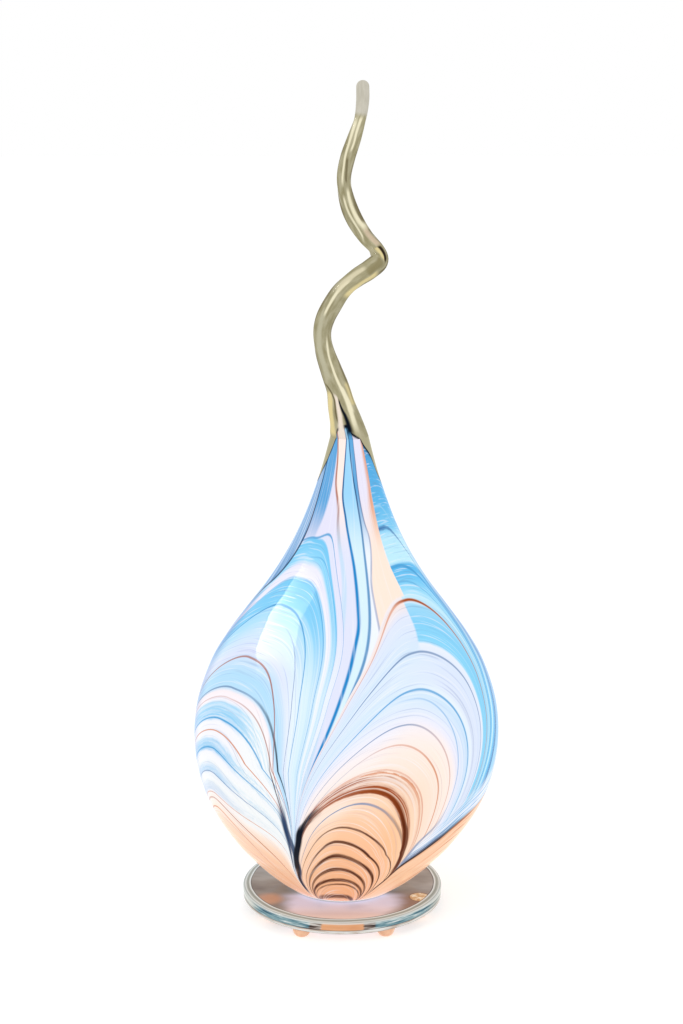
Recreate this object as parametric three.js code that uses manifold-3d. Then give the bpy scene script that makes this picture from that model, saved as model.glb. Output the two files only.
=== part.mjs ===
// Flame lamp: a blown glass shade drawn out into a twisted tail, standing over a candle bulb on a round glass plate.
// Millimetres, +Z up. The front faces -Y, and the origin is on the table under the middle of the plate.
import * as THREE from "three";
import { mergeVertices } from "three/addons/utils/BufferGeometryUtils.js";
import Module from "manifold-3d";

const wasm = await Module();
wasm.setup();

// Fits shared by all pieces
const contactGap = 0.3;
const cutOverrun = 1;
const weldDistance = 0.001;

// Rubber feet, stuck under the plate
const footDiameter = 12.6;
const footHeight = 7;
const footRimHeight = 2;
const footFlatDiameter = 5;
const footCircleDiameter = 116;
// Degrees round from the front, then the share of the circle, because they were stuck on by hand
const footPlaceShares = [
  [29, 1],
  [66, 0.96],
  [150, 0.98],
  [210, 0.98],
  [298, 0.94],
  [333, 1],
];

// Glass plate
const plateDiameter = 133;
const plateThickness = 8.5;
const plateBevelWidth = 4.8;
const plateBevelDepth = 0.8;

// Threaded nipple through the plate, and what it clamps
const nippleDiameter = 10;
const nippleBore = 8;
const nippleBottomReach = 0.2;
const nippleTopReach = 2;
const rubberWasherDiameter = 22;
const rubberWasherThickness = 0.8;
const steelWasherDiameter = 19;
const steelWasherThickness = 0.8;
const nutAcrossFlats = 14;
const nutThickness = 2;
const bushingFlangeDiameter = 9.6;
const bushingFlangeThickness = 0.6;
const bushingSleeveLength = 5;
const bushingWall = 0.55;

// Clear ring that the shade stands on
const seatRingThickness = 0.8;
const seatRingWidth = 5.4;
const seatLipHeight = 3;
const seatLipWall = 1.6;

// Socket and its bracket
const socketRise = 8;
const socketDiameter = 22;
const socketRecessDiameter = 16;
const socketRecessDepth = 5;
const socketFloorThickness = 6;
const socketCavityDepth = 20;
const bracketWidth = 12;
const bracketMetal = 1.2;
const bracketLegReach = 4;
const rivetDiameter = 3;
const rivetHeadDiameter = 5.6;
const rivetHeadThickness = 1.2;
const rivetGrip = 3;
const terminalScrewDiameter = 2.6;
const terminalHeadDiameter = 5;
const terminalHeadThickness = 1.6;
const terminalScrewLength = 3.6;
const terminalSpacing = 10;

// Lamp thread, shared by the bulb's cap and the socket's shell
const threadPitch = 2.54;
const threadCoreDiameter = 10.6;
const threadDepth = 0.62;
const threadClearance = 0.35;
const shellWall = 0.7;
const shellLength = 16;
const shellMouth = 0.8;

// Spring contact on the socket's floor
const leafThickness = 0.5;
const leafLength = 8;
const leafWidth = 4;
const leafRise = 3.2;
const contactRivetDiameter = 2.4;

// Candle bulb
const bulbLength = 98;
const bulbDiameter = 35;
const bulbGlassWall = 0.8;
const solderTipDiameter = 4.4;
const solderTipHeight = 1.2;
const insulatorHeight = 2.2;
const insulatorTopDiameter = 9.2;
const capThreadLength = 11;
const capNeckLength = 3;
const capFlareLength = 2.6;
const capCollarDiameter = 16.6;
const capCollarLength = 4;
const capMetal = 0.4;
const stemHeight = 23;
const stemDiameter = 5.6;
const stemFlareDiameter = 12;
const stemFlareHeight = 3;
const leadDiameter = 0.9;
const leadSpacing = 3;
const leadHeight = 16;
const filamentSpan = 16;
const filamentDiameter = 0.8;
const filamentArch = 7;

// Shade: a coloured body and the drawn tail that ends it
const shadeDiameter = 200.2;
const shadeBodyHeight = 304.2;
const shadeWall = 4;
const shadeNeckLean = 4.5;
const shadeNeckDiameter = 24.4;
const shadeCavityShare = 0.9;
const tailHeight = 218.4;
const tailSway = 17.3;
const tailDepth = 13;
const tailFluteDepth = 0.4;

// Outer outline of the shade's body: share of its height above the lip, then share of its radius
const shadeOutlineShares = [
  [0, 0.36],
  [0.03, 0.482],
  [0.07, 0.612],
  [0.12, 0.745],
  [0.19, 0.883],
  [0.26, 0.966],
  [0.34, 1],
  [0.42, 0.978],
  [0.5, 0.897],
  [0.56, 0.795],
  [0.62, 0.665],
  [0.68, 0.53],
  [0.74, 0.415],
  [0.8, 0.322],
  [0.86, 0.249],
  [0.93, 0.178],
];
// How the body leans into the neck, and how sharply its cavity closes under the tail
const leanExponentShare = 0.5;
const cavityClosingShare = 14;

// Middle line of the tail: shares of its sway, depth and height, then its thickness as a share of the neck's
const tailShares = [
  [0, 0, 0, 1],
  [-0.13, 0.08, 0.041, 0.85],
  [-0.29, 0.27, 0.087, 0.74],
  [-0.41, 0.38, 0.132, 0.63],
  [-0.66, 0.42, 0.187, 0.57],
  [-0.9, 0.23, 0.246, 0.53],
  [-0.99, -0.12, 0.301, 0.5],
  [-0.89, -0.5, 0.346, 0.5],
  [-0.63, -0.81, 0.39, 0.51],
  [-0.24, -1, 0.437, 0.52],
  [0.25, -0.92, 0.469, 0.52],
  [0.72, -0.65, 0.491, 0.51],
  [1.06, -0.12, 0.513, 0.49],
  [0.95, 0.38, 0.543, 0.44],
  [0.58, 0.65, 0.575, 0.425],
  [0.22, 0.65, 0.618, 0.435],
  [-0.02, 0.5, 0.661, 0.44],
  [-0.17, 0.19, 0.711, 0.42],
  [-0.2, -0.08, 0.752, 0.395],
  [-0.07, -0.31, 0.804, 0.385],
  [0.16, -0.42, 0.859, 0.37],
  [0.38, -0.35, 0.916, 0.345],
  [0.46, -0.19, 0.966, 0.34],
  [0.46, -0.12, 1, 0.33],
];

// Outline of the bulb's glass: share of its height above the cap, then share of its radius
const bulbOutlineShares = [
  [0.1, 0.5],
  [0.2, 0.7],
  [0.32, 0.92],
  [0.43, 1],
  [0.56, 0.94],
  [0.7, 0.73],
  [0.84, 0.43],
  [0.94, 0.19],
];

// How many facets go round, along or up a piece
const shadeSides = 36;
const shadeSteps = 24;
const tailSides = 12;
const tailSteps = 54;
const tailTipSteps = 3;
const tailFlutes = 4;
const tailFluteTurns = 3;
const plateSides = 48;
const ringSides = 36;
const turnedSides = 20;
const smallSides = 12;
const nutSides = 6;
const threadSides = 20;
const threadRowsPerPitch = 6;
const arcSteps = 4;
const bulbSteps = 12;
const wireSides = 3;
const wireSteps = 6;

// Heights above the table, from the feet up
const plateBottom = footHeight;
const plateTop = plateBottom + plateThickness;
const lowerRubberBottom = plateBottom - rubberWasherThickness;
const lowerSteelBottom = lowerRubberBottom - steelWasherThickness;
const lowerNutBottom = lowerSteelBottom - nutThickness;
const nippleBottom = lowerNutBottom - nippleBottomReach;
const upperSteelBottom = plateTop + rubberWasherThickness;
const bracketBottom = upperSteelBottom + steelWasherThickness;
const upperNutBottom = bracketBottom + bracketMetal;
const nippleTop = upperNutBottom + nutThickness + nippleTopReach;
const socketBottom = nippleTop + socketRise;
const socketFloorBottom = socketBottom + socketRecessDepth;
const socketFloorTop = socketFloorBottom + socketFloorThickness;
const bulbSeat = socketFloorTop + leafRise + contactGap;
const shadeLip = plateTop + seatRingThickness;

// Radii worked out from the sizes above
const nippleHoleRadius = nippleDiameter / 2 + contactGap;
const threadCoreRadius = threadCoreDiameter / 2;
const shellCoreRadius = threadCoreRadius + threadClearance;
const shellOuterRadius = shellCoreRadius + threadDepth + shellWall;
const collarBoreRadius = capCollarDiameter / 2 - capMetal;
const bulbNeckRadius = collarBoreRadius - contactGap;
const shadeRadius = shadeDiameter / 2;
const neckRadius = shadeNeckDiameter / 2;
const lipRadius = shadeRadius * shadeOutlineShares[0][1];
const mouthRadius = lipRadius - shadeWall;

// Heights along the bulb, from its solder tip
const capBottom = solderTipHeight + insulatorHeight;
const capNeckBottom = capBottom + capThreadLength;
const capFlareBottom = capNeckBottom + capNeckLength;
const capCollarBottom = capFlareBottom + capFlareLength;
const capTop = capCollarBottom + capCollarLength;
const bulbGlassHeight = bulbLength - capCollarBottom;

// Materials
const finish = (color, roughness, metalness, opacity = 1) =>
  new THREE.MeshStandardMaterial({ color, roughness, metalness, opacity, transparent: opacity < 1 });
const rubber = () => finish(0xd9b795, 0.55, 0);
const blackRubber = () => finish(0x26262a, 0.8, 0);
const plateGlass = () => finish(0xd6e2dd, 0.03, 0, 0.4);
const silicone = () => finish(0xe9ecec, 0.3, 0, 0.5);
const zincSteel = () => finish(0xb9bcc0, 0.35, 0.9);
const brass = () => finish(0xc9a24c, 0.28, 0.95);
const nickel = () => finish(0xc6c7c4, 0.25, 0.95);
const nylon = () => finish(0xe8e2d2, 0.5, 0);
const phenolic = () => finish(0x2a1d17, 0.4, 0);
const frostedGlass = () => finish(0xf3efe6, 0.5, 0, 0.85);
const clearGlass = () => finish(0xe4ebea, 0.05, 0, 0.4);
const darkGlass = () => finish(0x1d2024, 0.2, 0);
const solder = () => finish(0xb5b7b9, 0.4, 0.8);
const wire = () => finish(0x8d8a86, 0.4, 0.8);
const casedGlass = () => finish(0xb9d3ea, 0.08, 0);
const khakiGlass = () => finish(0xbdb283, 0.05, 0, 0.7);

// Turns an outline of [radius, height] points round the Z axis.
function turned(outline, sides) {
  const points = outline.map(([radius, height]) => new THREE.Vector2(radius, height));
  return new THREE.LatheGeometry(points, sides).rotateX(Math.PI / 2);
}

// A plain disc or tube from bottom to top, with an open bore where innerRadius isn't zero.
function sleeve(outerRadius, innerRadius, bottom, top, sides) {
  const outline = [
    [innerRadius, bottom],
    [outerRadius, bottom],
    [outerRadius, top],
    [innerRadius, top],
  ];
  return turned(innerRadius > 0 ? [...outline, outline[0]] : outline, sides);
}

// Joins rings of points into one closed skin, with a fan over each end.
function lofted(rings) {
  const sides = rings[0].length;
  const corners = rings.flat();
  const middleOf = (ring) => ring.reduce((sum, point) => sum.add(point), new THREE.Vector3()).divideScalar(sides);
  const first = corners.length;
  const last = first + 1;
  corners.push(middleOf(rings[0]), middleOf(rings[rings.length - 1]));
  const faces = [];
  const end = (rings.length - 1) * sides;
  for (let side = 0; side < sides; side += 1) {
    const next = (side + 1) % sides;
    faces.push(first, next, side, last, end + side, end + next);
    for (let row = 0; row < end; row += sides) {
      faces.push(row + side, row + next, row + sides + side);
      faces.push(row + next, row + sides + next, row + sides + side);
    }
  }
  const geometry = new THREE.BufferGeometry().setFromPoints(corners);
  geometry.setIndex(faces);
  geometry.computeVertexNormals();
  return geometry;
}

// A round wire along a curve.
function wireAlong(curve, diameter) {
  const section = new THREE.Shape().absarc(0, 0, diameter / 2, 0, 2 * Math.PI);
  const settings = { extrudePath: curve, steps: wireSteps, curveSegments: wireSides };
  return new THREE.ExtrudeGeometry(section, settings);
}

// The closed solid of a geometry, for cutting and joining.
function solidOf(geometry) {
  const bare = new THREE.BufferGeometry();
  bare.setAttribute("position", geometry.getAttribute("position"));
  bare.setIndex(geometry.getIndex());
  const merged = mergeVertices(bare, weldDistance);
  const vertProperties = merged.getAttribute("position").array;
  const triVerts = Uint32Array.from(merged.getIndex().array);
  return new wasm.Manifold(new wasm.Mesh({ numProp: 3, vertProperties, triVerts }));
}

// The geometry of a solid that was cut or joined.
function geometryOf(solid) {
  const mesh = solid.getMesh();
  const geometry = new THREE.BufferGeometry();
  geometry.setAttribute("position", new THREE.BufferAttribute(mesh.vertProperties, mesh.numProp));
  geometry.setIndex(new THREE.BufferAttribute(mesh.triVerts, 1));
  geometry.computeVertexNormals();
  return geometry;
}

// Cuts each tool out of a geometry.
function cut(geometry, tools) {
  const solid = tools.reduce((left, tool) => left.subtract(solidOf(tool)), solidOf(geometry));
  return geometryOf(solid);
}

// Heights of the rows of a thread, evenly spaced along it.
function threadRows(bottom, top) {
  const count = Math.ceil(((top - bottom) / threadPitch) * threadRowsPerPitch);
  return Array.from({ length: count + 1 }, (_, row) => bottom + ((top - bottom) * row) / count);
}

// Raises the lamp's right-hand thread out of a turned wall. A cap's thread runs out at both ends, and a shell's doesn't.
function threaded(geometry, coreRadius, bottom, top, heightAboveTable, runOut) {
  const position = geometry.getAttribute("position");
  for (let index = 0; index < position.count; index += 1) {
    const x = position.getX(index);
    const y = position.getY(index);
    const z = position.getZ(index);
    const radius = Math.hypot(x, y);
    const onWall = Math.abs(radius - coreRadius) < weldDistance;
    if (onWall && z > bottom - weldDistance && z < top + weldDistance) {
      const turn = (2 * Math.PI * (z + heightAboveTable)) / threadPitch - Math.atan2(y, x);
      const nearEnd = Math.max(0, Math.min(z - bottom, top - z));
      const height = runOut > 0 ? Math.min(1, nearEnd / runOut) : 1;
      const raised = radius + (threadDepth * height * (1 + Math.cos(turn))) / 2;
      position.setXY(index, (x * raised) / radius, (y * raised) / radius);
    }
  }
  geometry.computeVertexNormals();
  return geometry;
}

function piece(name, geometry, material, height = 0) {
  const mesh = new THREE.Mesh(geometry, material);
  mesh.name = name;
  mesh.position.z = height;
  return mesh;
}

// Base

function footGeometry() {
  const radius = footDiameter / 2;
  const flatRadius = footFlatDiameter / 2;
  const domeHeight = footHeight - footRimHeight;
  const dome = Array.from({ length: arcSteps + 1 }, (_, step) => {
    const angle = (step / arcSteps) * (Math.PI / 2);
    return [flatRadius + (radius - flatRadius) * Math.sin(angle), domeHeight * (1 - Math.cos(angle))];
  });
  return turned([[0, 0], ...dome, [radius, footHeight], [0, footHeight]], smallSides);
}

function plateGeometry() {
  const radius = plateDiameter / 2;
  const faceRadius = radius - plateBevelWidth;
  const outline = [
    [nippleHoleRadius, 0],
    [faceRadius, 0],
    [radius, plateBevelDepth],
    [radius, plateThickness - plateBevelDepth],
    [faceRadius, plateThickness],
    [nippleHoleRadius, plateThickness],
    [nippleHoleRadius, 0],
  ];
  return turned(outline, plateSides);
}

function seatRingGeometry() {
  const lipOuter = mouthRadius - contactGap;
  const lipInner = lipOuter - seatLipWall;
  const outline = [
    [lipInner, 0],
    [lipInner + seatRingWidth, 0],
    [lipInner + seatRingWidth, seatRingThickness],
    [lipOuter, seatRingThickness],
    [lipOuter, seatLipHeight],
    [lipInner, seatLipHeight],
    [lipInner, 0],
  ];
  return turned(outline, ringSides);
}

function nutGeometry() {
  const cornerRadius = nutAcrossFlats / 2 / Math.cos(Math.PI / nutSides);
  const blank = sleeve(cornerRadius, 0, 0, nutThickness, nutSides);
  return cut(blank, [sleeve(nippleHoleRadius, 0, -cutOverrun, nutThickness + cutOverrun, turnedSides)]);
}

function bushingGeometry() {
  const sleeveRadius = nippleBore / 2 - contactGap;
  const boreRadius = sleeveRadius - bushingWall;
  const outline = [
    [boreRadius, -bushingFlangeThickness],
    [bushingFlangeDiameter / 2, -bushingFlangeThickness],
    [bushingFlangeDiameter / 2, 0],
    [sleeveRadius, 0],
    [sleeveRadius, bushingSleeveLength],
    [boreRadius, bushingSleeveLength],
    [boreRadius, -bushingFlangeThickness],
  ];
  return turned(outline, smallSides);
}

function washer(name, diameter, thickness, material, height) {
  return piece(name, sleeve(diameter / 2, nippleHoleRadius, 0, thickness, turnedSides), material, height);
}

function makeBase() {
  const base = new THREE.Group();
  footPlaceShares.forEach(([degrees, share], index) => {
    const angle = THREE.MathUtils.degToRad(degrees);
    const reach = (share * footCircleDiameter) / 2;
    const foot = piece(`foot_${index + 1}`, footGeometry(), rubber());
    foot.position.x = reach * Math.sin(angle);
    foot.position.y = -reach * Math.cos(angle);
    base.add(foot);
  });
  const nippleTube = sleeve(nippleDiameter / 2, nippleBore / 2, 0, nippleTop - nippleBottom, turnedSides);
  base.add(
    piece("base_plate", plateGeometry(), plateGlass(), plateBottom),
    piece("seat_ring", seatRingGeometry(), silicone(), plateTop),
    piece("threaded_nipple", nippleTube, zincSteel(), nippleBottom),
    piece("cord_bushing", bushingGeometry(), nylon(), nippleBottom),
    washer("lower_rubber_washer", rubberWasherDiameter, rubberWasherThickness, blackRubber(), lowerRubberBottom),
    washer("lower_steel_washer", steelWasherDiameter, steelWasherThickness, zincSteel(), lowerSteelBottom),
    washer("upper_rubber_washer", rubberWasherDiameter, rubberWasherThickness, blackRubber(), plateTop),
    washer("upper_steel_washer", steelWasherDiameter, steelWasherThickness, zincSteel(), upperSteelBottom),
    piece("lower_nut", nutGeometry(), brass(), lowerNutBottom),
    piece("upper_nut", nutGeometry(), brass(), upperNutBottom),
  );
  return base;
}

// Socket

// A pin with a flat head under it, along Z, for the bracket's rivets and the terminal screws.
function headedPin(diameter, length, headDiameter, headThickness) {
  const outline = [
    [0, -headThickness],
    [headDiameter / 2, -headThickness],
    [headDiameter / 2, 0],
    [diameter / 2, 0],
    [diameter / 2, length],
    [0, length],
  ];
  return turned(outline, smallSides);
}

const rivetHeight = (socketFloorBottom + socketFloorTop) / 2;
const legInner = socketDiameter / 2 + contactGap;
const legOuter = legInner + bracketMetal;

// A hole along X for one rivet, on the side that sign names.
function rivetHole(sign) {
  const radius = rivetDiameter / 2 + contactGap;
  const depth = bracketMetal + 2 * contactGap + rivetGrip;
  const hole = sleeve(radius, 0, 0, depth + cutOverrun, smallSides).rotateY((-sign * Math.PI) / 2);
  return hole.translate(sign * (legOuter + cutOverrun), 0, rivetHeight);
}

function bracketGeometry() {
  const legTop = rivetHeight + bracketLegReach;
  const corners = [
    [-legOuter, bracketBottom],
    [legOuter, bracketBottom],
    [legOuter, legTop],
    [legInner, legTop],
    [legInner, bracketBottom + bracketMetal],
    [-legInner, bracketBottom + bracketMetal],
    [-legInner, legTop],
    [-legOuter, legTop],
  ];
  const outline = new THREE.Shape(corners.map(([x, z]) => new THREE.Vector2(x, z)));
  const strap = new THREE.ExtrudeGeometry(outline, { depth: bracketWidth, bevelEnabled: false });
  strap.rotateX(Math.PI / 2).translate(0, bracketWidth / 2, 0);
  const nippleHole = sleeve(
    nippleHoleRadius,
    0,
    bracketBottom - cutOverrun,
    upperNutBottom + cutOverrun,
    turnedSides,
  );
  return cut(strap, [nippleHole, rivetHole(1), rivetHole(-1)]);
}

function socketBodyGeometry() {
  const cavityRadius = shellOuterRadius + contactGap;
  const socketTop = socketFloorTop + socketCavityDepth;
  const contactHoleRadius = contactRivetDiameter / 2 + contactGap;
  const screwHoleRadius = terminalScrewDiameter / 2 + contactGap;
  const outline = [
    [contactHoleRadius, socketFloorBottom],
    [socketRecessDiameter / 2, socketFloorBottom],
    [socketRecessDiameter / 2, socketBottom],
    [socketDiameter / 2, socketBottom],
    [socketDiameter / 2, socketTop],
    [cavityRadius, socketTop],
    [cavityRadius, socketFloorTop],
    [contactHoleRadius, socketFloorTop],
    [contactHoleRadius, socketFloorBottom],
  ];
  const screwHoles = [-1, 1].map((sign) => {
    const top = socketFloorBottom + terminalScrewLength + contactGap;
    const hole = sleeve(screwHoleRadius, 0, socketFloorBottom - cutOverrun, top, smallSides);
    return hole.translate(0, (sign * terminalSpacing) / 2, 0);
  });
  return cut(turned(outline, turnedSides), [...screwHoles, rivetHole(1), rivetHole(-1)]);
}

// The brass shell that the bulb screws into, with a widened mouth.
function screwShellGeometry() {
  const threadTop = shellLength - shellMouth;
  const mouthInner = shellCoreRadius + threadDepth;
  const wall = threadRows(0, threadTop).map((height) => [shellCoreRadius, height]);
  const outline = [
    [shellOuterRadius, 0],
    [shellOuterRadius, shellLength],
    [mouthInner, shellLength],
    ...wall.reverse(),
    [shellOuterRadius, 0],
  ];
  const blank = turned(outline, threadSides);
  return threaded(blank, shellCoreRadius, 0, threadTop, socketFloorTop, 0);
}

// A strip that lies on the socket's floor, folds back over itself and springs up under the bulb, with its rivet.
function centreContactGeometry() {
  const half = leafLength / 2;
  const springTop = leafRise - leafThickness;
  const outline = new THREE.Shape();
  outline.moveTo(-half, 0);
  outline.lineTo(half, 0);
  outline.bezierCurveTo(half + leafThickness, leafRise / 2, half, springTop, leafThickness, leafRise);
  outline.lineTo(-leafThickness, leafRise);
  outline.lineTo(-leafThickness, springTop);
  outline.bezierCurveTo(half - leafThickness, springTop, half, leafRise / 2, half - leafThickness, leafThickness);
  outline.lineTo(-half, leafThickness);
  const settings = { depth: leafWidth, bevelEnabled: false, curveSegments: arcSteps };
  const strip = new THREE.ExtrudeGeometry(outline, settings);
  strip.rotateX(Math.PI / 2).translate(0, leafWidth / 2, 0);
  const rivetReach = socketFloorThickness + leafThickness;
  const rivet = sleeve(contactRivetDiameter / 2, 0, -rivetReach, leafThickness / 2, smallSides);
  return geometryOf(solidOf(strip).add(solidOf(rivet)));
}

function makeSocket() {
  const socket = new THREE.Group();
  socket.add(
    piece("socket_bracket", bracketGeometry(), zincSteel()),
    piece("socket_body", socketBodyGeometry(), phenolic()),
    piece("screw_shell", screwShellGeometry(), brass(), socketFloorTop),
    piece("centre_contact", centreContactGeometry(), brass(), socketFloorTop),
  );
  [-1, 1].forEach((sign, index) => {
    const rivetLength = bracketMetal + contactGap + rivetGrip;
    const rivet = headedPin(rivetDiameter, rivetLength, rivetHeadDiameter, rivetHeadThickness);
    const rivetMesh = piece(`bracket_rivet_${index + 1}`, rivet, brass(), rivetHeight);
    rivetMesh.position.x = sign * legOuter;
    rivetMesh.rotation.y = (-sign * Math.PI) / 2;
    const screw = headedPin(
      terminalScrewDiameter,
      terminalScrewLength,
      terminalHeadDiameter,
      terminalHeadThickness,
    );
    const screwMesh = piece(`terminal_screw_${index + 1}`, screw, brass(), socketFloorBottom);
    screwMesh.position.y = (sign * terminalSpacing) / 2;
    socket.add(rivetMesh, screwMesh);
  });
  return socket;
}

// Bulb

function solderTipGeometry() {
  const radius = solderTipDiameter / 2;
  const dome = Array.from({ length: arcSteps + 1 }, (_, step) => {
    const angle = (step / arcSteps) * (Math.PI / 2);
    return [radius * Math.sin(angle), solderTipHeight * (1 - Math.cos(angle))];
  });
  return turned([...dome, [0, solderTipHeight]], smallSides);
}

function insulatorGeometry() {
  const outline = [
    [0, 0],
    [solderTipDiameter / 2, 0],
    [insulatorTopDiameter / 2, insulatorHeight],
    [0, insulatorHeight],
  ];
  return turned(outline, smallSides);
}

function bulbCapGeometry() {
  const wall = threadRows(capBottom, capNeckBottom).map((height) => [threadCoreRadius, height]);
  const outline = [
    [0, capBottom],
    ...wall,
    [threadCoreRadius, capFlareBottom],
    [capCollarDiameter / 2, capCollarBottom],
    [capCollarDiameter / 2, capTop],
    [collarBoreRadius, capTop],
    [collarBoreRadius, capCollarBottom + contactGap],
    [0, capCollarBottom + contactGap],
  ];
  const blank = turned(outline, threadSides);
  return threaded(blank, threadCoreRadius, capBottom, capNeckBottom, bulbSeat, threadPitch / 2);
}

function bulbGlassGeometry() {
  const radius = bulbDiameter / 2;
  const bottom = capCollarBottom + 2 * contactGap;
  const height = bulbLength - bottom;
  const shoulder = bulbOutlineShares.map(([up, out]) => new THREE.Vector2(out * radius, bottom + up * height));
  const neck = new THREE.Vector2(bulbNeckRadius, capTop);
  const tip = new THREE.Vector2(0, bulbLength);
  const curve = new THREE.SplineCurve([neck, ...shoulder, tip]);
  const rise = curve.getPoints(bulbSteps).map((point) => [Math.max(0, point.x), point.y]);
  const outer = [[bulbNeckRadius, bottom], ...rise];
  const innerTop = bulbLength - 2 * bulbGlassWall;
  const inner = outer
    .filter(([out, up]) => out > 2 * bulbGlassWall && up < innerTop)
    .map(([out, up]) => [out - bulbGlassWall, up])
    .reverse();
  return turned([[0, innerTop], ...inner, ...outer], turnedSides);
}

function stemGeometry() {
  const bottom = capCollarBottom + 2 * contactGap;
  const outline = [
    [0, bottom],
    [stemFlareDiameter / 2, bottom],
    [stemDiameter / 2, bottom + stemFlareHeight],
    [stemDiameter / 2, bottom + stemHeight],
    [0, bottom + stemHeight],
  ];
  return turned(outline, smallSides);
}

const stemTop = capCollarBottom + 2 * contactGap + stemHeight;
const leadTop = stemTop + leadHeight;

// One of the two wires that carry the filament, on the side that sign names.
function leadGeometry(sign) {
  const startX = (sign * leadSpacing) / 2;
  const endX = (sign * filamentSpan) / 2;
  const curve = new THREE.CubicBezierCurve3(
    new THREE.Vector3(startX, 0, stemTop),
    new THREE.Vector3(startX, 0, stemTop + leadHeight / 2),
    new THREE.Vector3(endX, 0, stemTop + leadHeight / 2),
    new THREE.Vector3(endX, 0, leadTop),
  );
  return wireAlong(curve, leadDiameter);
}

function filamentGeometry() {
  const reach = filamentSpan / 2;
  const bottom = leadTop + contactGap;
  const curve = new THREE.CubicBezierCurve3(
    new THREE.Vector3(-reach, 0, bottom),
    new THREE.Vector3(-reach, 0, bottom + filamentArch),
    new THREE.Vector3(reach, 0, bottom + filamentArch),
    new THREE.Vector3(reach, 0, bottom),
  );
  return wireAlong(curve, filamentDiameter);
}

function makeBulb() {
  const bulb = new THREE.Group();
  bulb.position.z = bulbSeat;
  bulb.add(
    piece("bulb_contact", solderTipGeometry(), solder()),
    piece("bulb_insulator", insulatorGeometry(), darkGlass(), solderTipHeight),
    piece("bulb_cap", bulbCapGeometry(), nickel()),
    piece("bulb_glass", bulbGlassGeometry(), frostedGlass()),
    piece("bulb_stem", stemGeometry(), clearGlass()),
    piece("bulb_lead_1", leadGeometry(-1), wire()),
    piece("bulb_lead_2", leadGeometry(1), wire()),
    piece("bulb_filament", filamentGeometry(), wire()),
  );
  return bulb;
}

// Shade

// Leans a geometry that stands on the lip towards +X, until its neck is off the axis by the neck's lean.
function leaned(geometry) {
  const position = geometry.getAttribute("position");
  for (let index = 0; index < position.count; index += 1) {
    const share = Math.max(0, position.getZ(index) / shadeBodyHeight);
    const lean = shadeNeckLean * Math.pow(share, leanExponentShare);
    position.setX(index, position.getX(index) + lean);
  }
  geometry.computeVertexNormals();
  return geometry;
}

function shadeBodyGeometry() {
  const stations = shadeOutlineShares.map(
    ([up, out]) => new THREE.Vector2(out * shadeRadius, up * shadeBodyHeight),
  );
  const curve = new THREE.SplineCurve([...stations, new THREE.Vector2(neckRadius, shadeBodyHeight)]);
  const outer = curve.getPoints(shadeSteps).map((point) => [point.x, point.y]);
  const cavityTop = shadeBodyHeight * shadeCavityShare;
  const inner = outer
    .filter(([, up]) => up < cavityTop)
    .map(([out, up]) => {
      const closing = Math.sqrt(1 - Math.pow(up / cavityTop, cavityClosingShare));
      return [(out - shadeWall) * closing, up];
    })
    .reverse();
  return leaned(turned([[0, cavityTop], ...inner, ...outer, [0, shadeBodyHeight]], shadeSides));
}

// A ring of the tail, with shallow flutes that turn as they climb.
function tailRing(centre, across, over, radius, climb) {
  return Array.from({ length: tailSides }, (_, side) => {
    const angle = (side / tailSides) * 2 * Math.PI;
    const flute = Math.cos(tailFlutes * (angle + climb * tailFluteTurns * Math.PI));
    const depth = tailFluteDepth * Math.min(1, climb * tailFluteTurns);
    const reach = radius + depth * flute;
    const point = centre.clone().addScaledVector(across, reach * Math.cos(angle));
    return point.addScaledVector(over, reach * Math.sin(angle));
  });
}

function tailGeometry() {
  const centres = tailShares.map(
    ([side, back, up]) => new THREE.Vector3(side * tailSway, back * tailDepth, up * tailHeight),
  );
  const curve = new THREE.CatmullRomCurve3(centres);
  const thickness = new THREE.CatmullRomCurve3(
    tailShares.map(([, , up, thick]) => new THREE.Vector3(thick * neckRadius, 0, up * tailHeight)),
  );
  const { normals, binormals } = curve.computeFrenetFrames(tailSteps, false);
  const rings = normals.map((normal, step) => {
    const share = curve.getUtoTmapping(step / tailSteps);
    const ring = tailRing(
      curve.getPoint(share),
      normal,
      binormals[step],
      thickness.getPoint(share).x,
      share,
    );
    return step > 0 ? ring : ring.map((point) => point.setZ(0));
  });
  const end = rings.length - 1;
  const tipRadius = thickness.getPoint(1).x;
  const tipDirection = curve.getTangentAt(1);
  for (let step = 1; step <= tailTipSteps; step += 1) {
    const angle = (step / (tailTipSteps + 1)) * (Math.PI / 2);
    const centre = curve.getPoint(1).addScaledVector(tipDirection, tipRadius * Math.sin(angle));
    rings.push(tailRing(centre, normals[end], binormals[end], tipRadius * Math.cos(angle), 1));
  }
  return lofted(rings);
}

function makeShade() {
  const shade = new THREE.Group();
  shade.position.z = shadeLip;
  const tail = piece("shade_tail", tailGeometry(), khakiGlass(), shadeBodyHeight);
  tail.position.x = shadeNeckLean;
  shade.add(piece("shade_body", shadeBodyGeometry(), casedGlass()), tail);
  return shade;
}

const flameLamp = new THREE.Group();
flameLamp.name = "flame_lamp";
flameLamp.add(makeBase(), makeSocket(), makeBulb(), makeShade());

export default flameLamp;
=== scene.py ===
"""Flame lamp: a blown glass shade with pulled feather bands and a drawn tail, over a bulb on a glass plate.

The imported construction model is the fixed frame. The shade, its tail, the plate, its feet and the fittings
are modelled here at a finer grain and stand for their nodes. The socket's centre contact and the bulb's leads
and filament stay the frame's own solids, with a finish.
"""

import logging
import math
from dataclasses import dataclass
from enum import Enum
from typing import Sequence

import bmesh
import bpy
from bmesh.types import BMEdge, BMesh, BMVert
from mathutils import Matrix, Vector


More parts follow.
